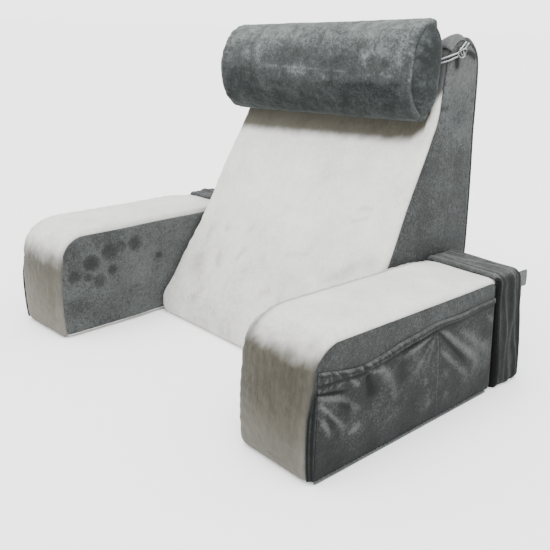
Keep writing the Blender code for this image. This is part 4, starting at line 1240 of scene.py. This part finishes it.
# ------------ ties
# The middle lines of the ties' strands, from the roll or the knot outwards
TIE_ROUTES = {
    "right_roll_upper": mm(
        (229.8, 50.8, 544), (236, 54.5, 547), (241.3, 64, 551), (242.1, 78.5, 554.5), (242.2, 91.2, 557),
    ),
    "right_roll_lower": mm(
        (229.6, 50.7, 537.5), (235.8, 54.8, 540.5), (241.5, 65.5, 544.3), (242.3, 78.5, 548.3),
        (242.3, 92.5, 551.8),
    ),
    "right_top_front": mm(
        (243.2, 96.2, 564), (242.4, 101.5, 568.2), (242.2, 106.5, 571.8), (241.9, 110, 574.5),
    ),
    "right_top_rear": mm(
        (243.4, 104.4, 562.2), (242.6, 109.5, 566.2), (242.3, 114.5, 570.2), (241.9, 118, 572.8),
    ),
    "left_roll_upper": mm(
        (-268.5, 51.5, 530), (-264.5, 58, 535.5), (-250.5, 65.5, 543), (-243.4, 74.5, 550), (-241.8, 90.7, 556.5),
    ),
    "left_roll_lower": mm(
        (-268.3, 51.5, 523.5), (-264.5, 58.5, 529.5), (-250.5, 66.5, 537), (-243.5, 76, 544), (-242, 92.7, 552.3),
    ),
}
for end in ("top_front", "top_rear"):
    TIE_ROUTES[f"left_{end}"] = TIE_ROUTES[f"right_{end}"] * (-1, 1, 1)
KNOT_CENTRE = (0.2442, 0.0985, 0.5575)
KNOT_CORD_RADIUS = 0.0013


def strand_wave(share, turn):
    """Two plies twisted round each other."""
    return 1 + 0.10 * np.cos(2 * (turn - 55 * share)) - 0.04


def make_strand(word):
    path = catmull(TIE_ROUTES[word], 60)
    strand = tube(f"tie_{word}_cord", path, CORD_RADIUS, CORD, 14, strand_wave)
    return lit_from_above(strand), path, float(run_along(path)[-1])


def make_knot(word):
    """An overhand knot with two small loops, wound from one cord."""
    side = 1 if word == "right" else -1
    turn = np.linspace(0, math.tau, 150, endpoint=False)
    lobe = 0.0062 + 0.0024 * np.cos(3 * turn)
    x = side * (KNOT_CENTRE[0] + 0.0008 + 0.0021 * np.sin(3 * turn))
    y = KNOT_CENTRE[1] - 0.002 + 1.30 * lobe * np.cos(2 * turn)
    z = KNOT_CENTRE[2] + 0.95 * lobe * np.sin(2 * turn) + 0.0010 * np.cos(turn)
    node = f"tie_{word}_knot"
    knot = tube(node + "_cord", np.column_stack([x, y, z]), KNOT_CORD_RADIUS, CORD, 12, ring=True)
    return lit_from_above(knot), node


# ------------ put together
def place(piece, node, slot):
    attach(piece, "root")
    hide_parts(node)


def place_panel(piece, node, area, cushion):
    """A panel stretched over a cushion, placed like any other piece."""
    place(piece, node, "grey_velour")


def place_cushion(piece, node, slot, fill):
    place(piece, node, slot)


for side in (-1, 1):
    place_panel(*make_back_side(side), "backrest")
piece, node, area = make_back_panel()
place(piece, node, "grey_velour")
place_cushion(*make_back_core(), "white_plush", fill=0.8)
place_cushion(*make_roll(), "grey_velour", fill=0.85)
for side in (-1, 1):
    place_cushion(*make_roll_end(side), "dark_velour", fill=0.6)

for name in ARMS:
    place_cushion(*make_arm_core(name), "white_plush", fill=0.8)
    for side in (-1, 1):
        place_panel(*make_arm_panel(name, side), f"arm_{name}")
    piece, node, area = make_pocket(name)
    place(piece, node, "dark_velour")
    place_cushion(*make_band(name), "dark_velour", fill=0.5)
    piece, node, area = make_binding(name)
    place(piece, node, "dark_velour")
    piece, node = make_piping(name)
    place(piece, node, "grey_velour")
piece, node, area = make_band_end()
place(piece, node, "dark_velour")

for word in ("right", "left"):
    knot, node = make_knot(word)
    place(knot, node, "cord")
    shorts = []
    for end in ("top_front", "top_rear"):
        piece, path, length = make_strand(f"{word}_{end}")
        place(piece, f"tie_{word}_{end}", "cord")
        shorts.append(piece)
    for end, extra in (("roll_upper", [knot, shorts[0]]), ("roll_lower", [shorts[1]])):
        piece, path, length = make_strand(f"{word}_{end}")
        place(piece, f"tie_{word}_{end}", "cord")


# ------------ floor, light and camera
def make_floor():
    """A wide pale floor that runs to the horizon."""
    turns = np.linspace(0, math.tau, 64, endpoint=False)
    mesh = bpy.data.meshes.new("floor")
    mesh.from_pydata([(FLOOR_REACH * math.cos(t), FLOOR_REACH * math.sin(t), 0.0) for t in turns], [], [range(64)])
    material, tree, shader = nodes_for("floor")
    set_inputs(shader, {"Base Color": (0.96, 0.96, 0.962, 1.0), "Roughness": 0.9, "Specular IOR Level": 0.0})
    mesh.materials.append(material)
    add_object("floor", mesh)


def make_sun():
    """The wide soft light overhead, a little to the front."""
    lamp = bpy.data.lights.new("overhead", "SUN")
    lamp.energy = SUN_STRENGTH
    lamp.angle = math.radians(SUN_WIDTH)
    add_object("overhead", lamp).rotation_euler = Vector(SUN_FROM).to_track_quat("Z", "Y").to_euler()


def make_camera():
    lens = bpy.data.cameras.new("camera")
    lens.sensor_width = SENSOR_MM
    lens.lens = FOCAL_PIXELS * SENSOR_MM / PHOTO_PIXELS
    camera = add_object("camera", lens)
    yaw, pitch, roll = CAMERA_YAW, CAMERA_PITCH, CAMERA_ROLL
    back = Vector((math.sin(yaw) * math.cos(pitch), -math.cos(yaw) * math.cos(pitch), math.sin(pitch)))
    right = Vector((math.cos(yaw), math.sin(yaw), 0.0))
    up = back.cross(right)
    right, up = math.cos(roll) * right + math.sin(roll) * up, -math.sin(roll) * right + math.cos(roll) * up
    turn = Matrix((right, up, back)).transposed().to_4x4()
    camera.matrix_world = Matrix.Translation(CAMERA_AT) @ turn
    bpy.context.scene.camera = camera


def make_world():
    """A white dome: bright at the horizon, where it meets the floor, and overhead."""
    world = bpy.data.worlds.new("studio")
    world.use_nodes = True
    tree = world.node_tree
    place = add(tree, "ShaderNodeTexCoord").outputs["Generated"]
    parts = add(tree, "ShaderNodeSeparateXYZ")
    tree.links.new(place, parts.inputs[0])
    shade = ramp(tree, parts.outputs["Z"], [(at, (level, level, level)) for at, level in DOME])
    shader = tree.nodes["Background"]
    shader.inputs["Strength"].default_value = DOME_STRENGTH
    tree.links.new(shade, shader.inputs["Color"])
    bpy.context.scene.world = world


FLOOR_REACH = 400.0
SUN_STRENGTH, SUN_WIDTH, SUN_FROM = 5.0, 75.0, (0.15, -0.45, 1.0)
DOME_STRENGTH = 3.4
# The dome's brightness by the sine of the height above the horizon
DOME = ((0.0, 1.0), (0.13, 1.0), (0.32, 0.22), (1.0, 0.85))
make_floor()
make_sun()
make_world()
make_camera()
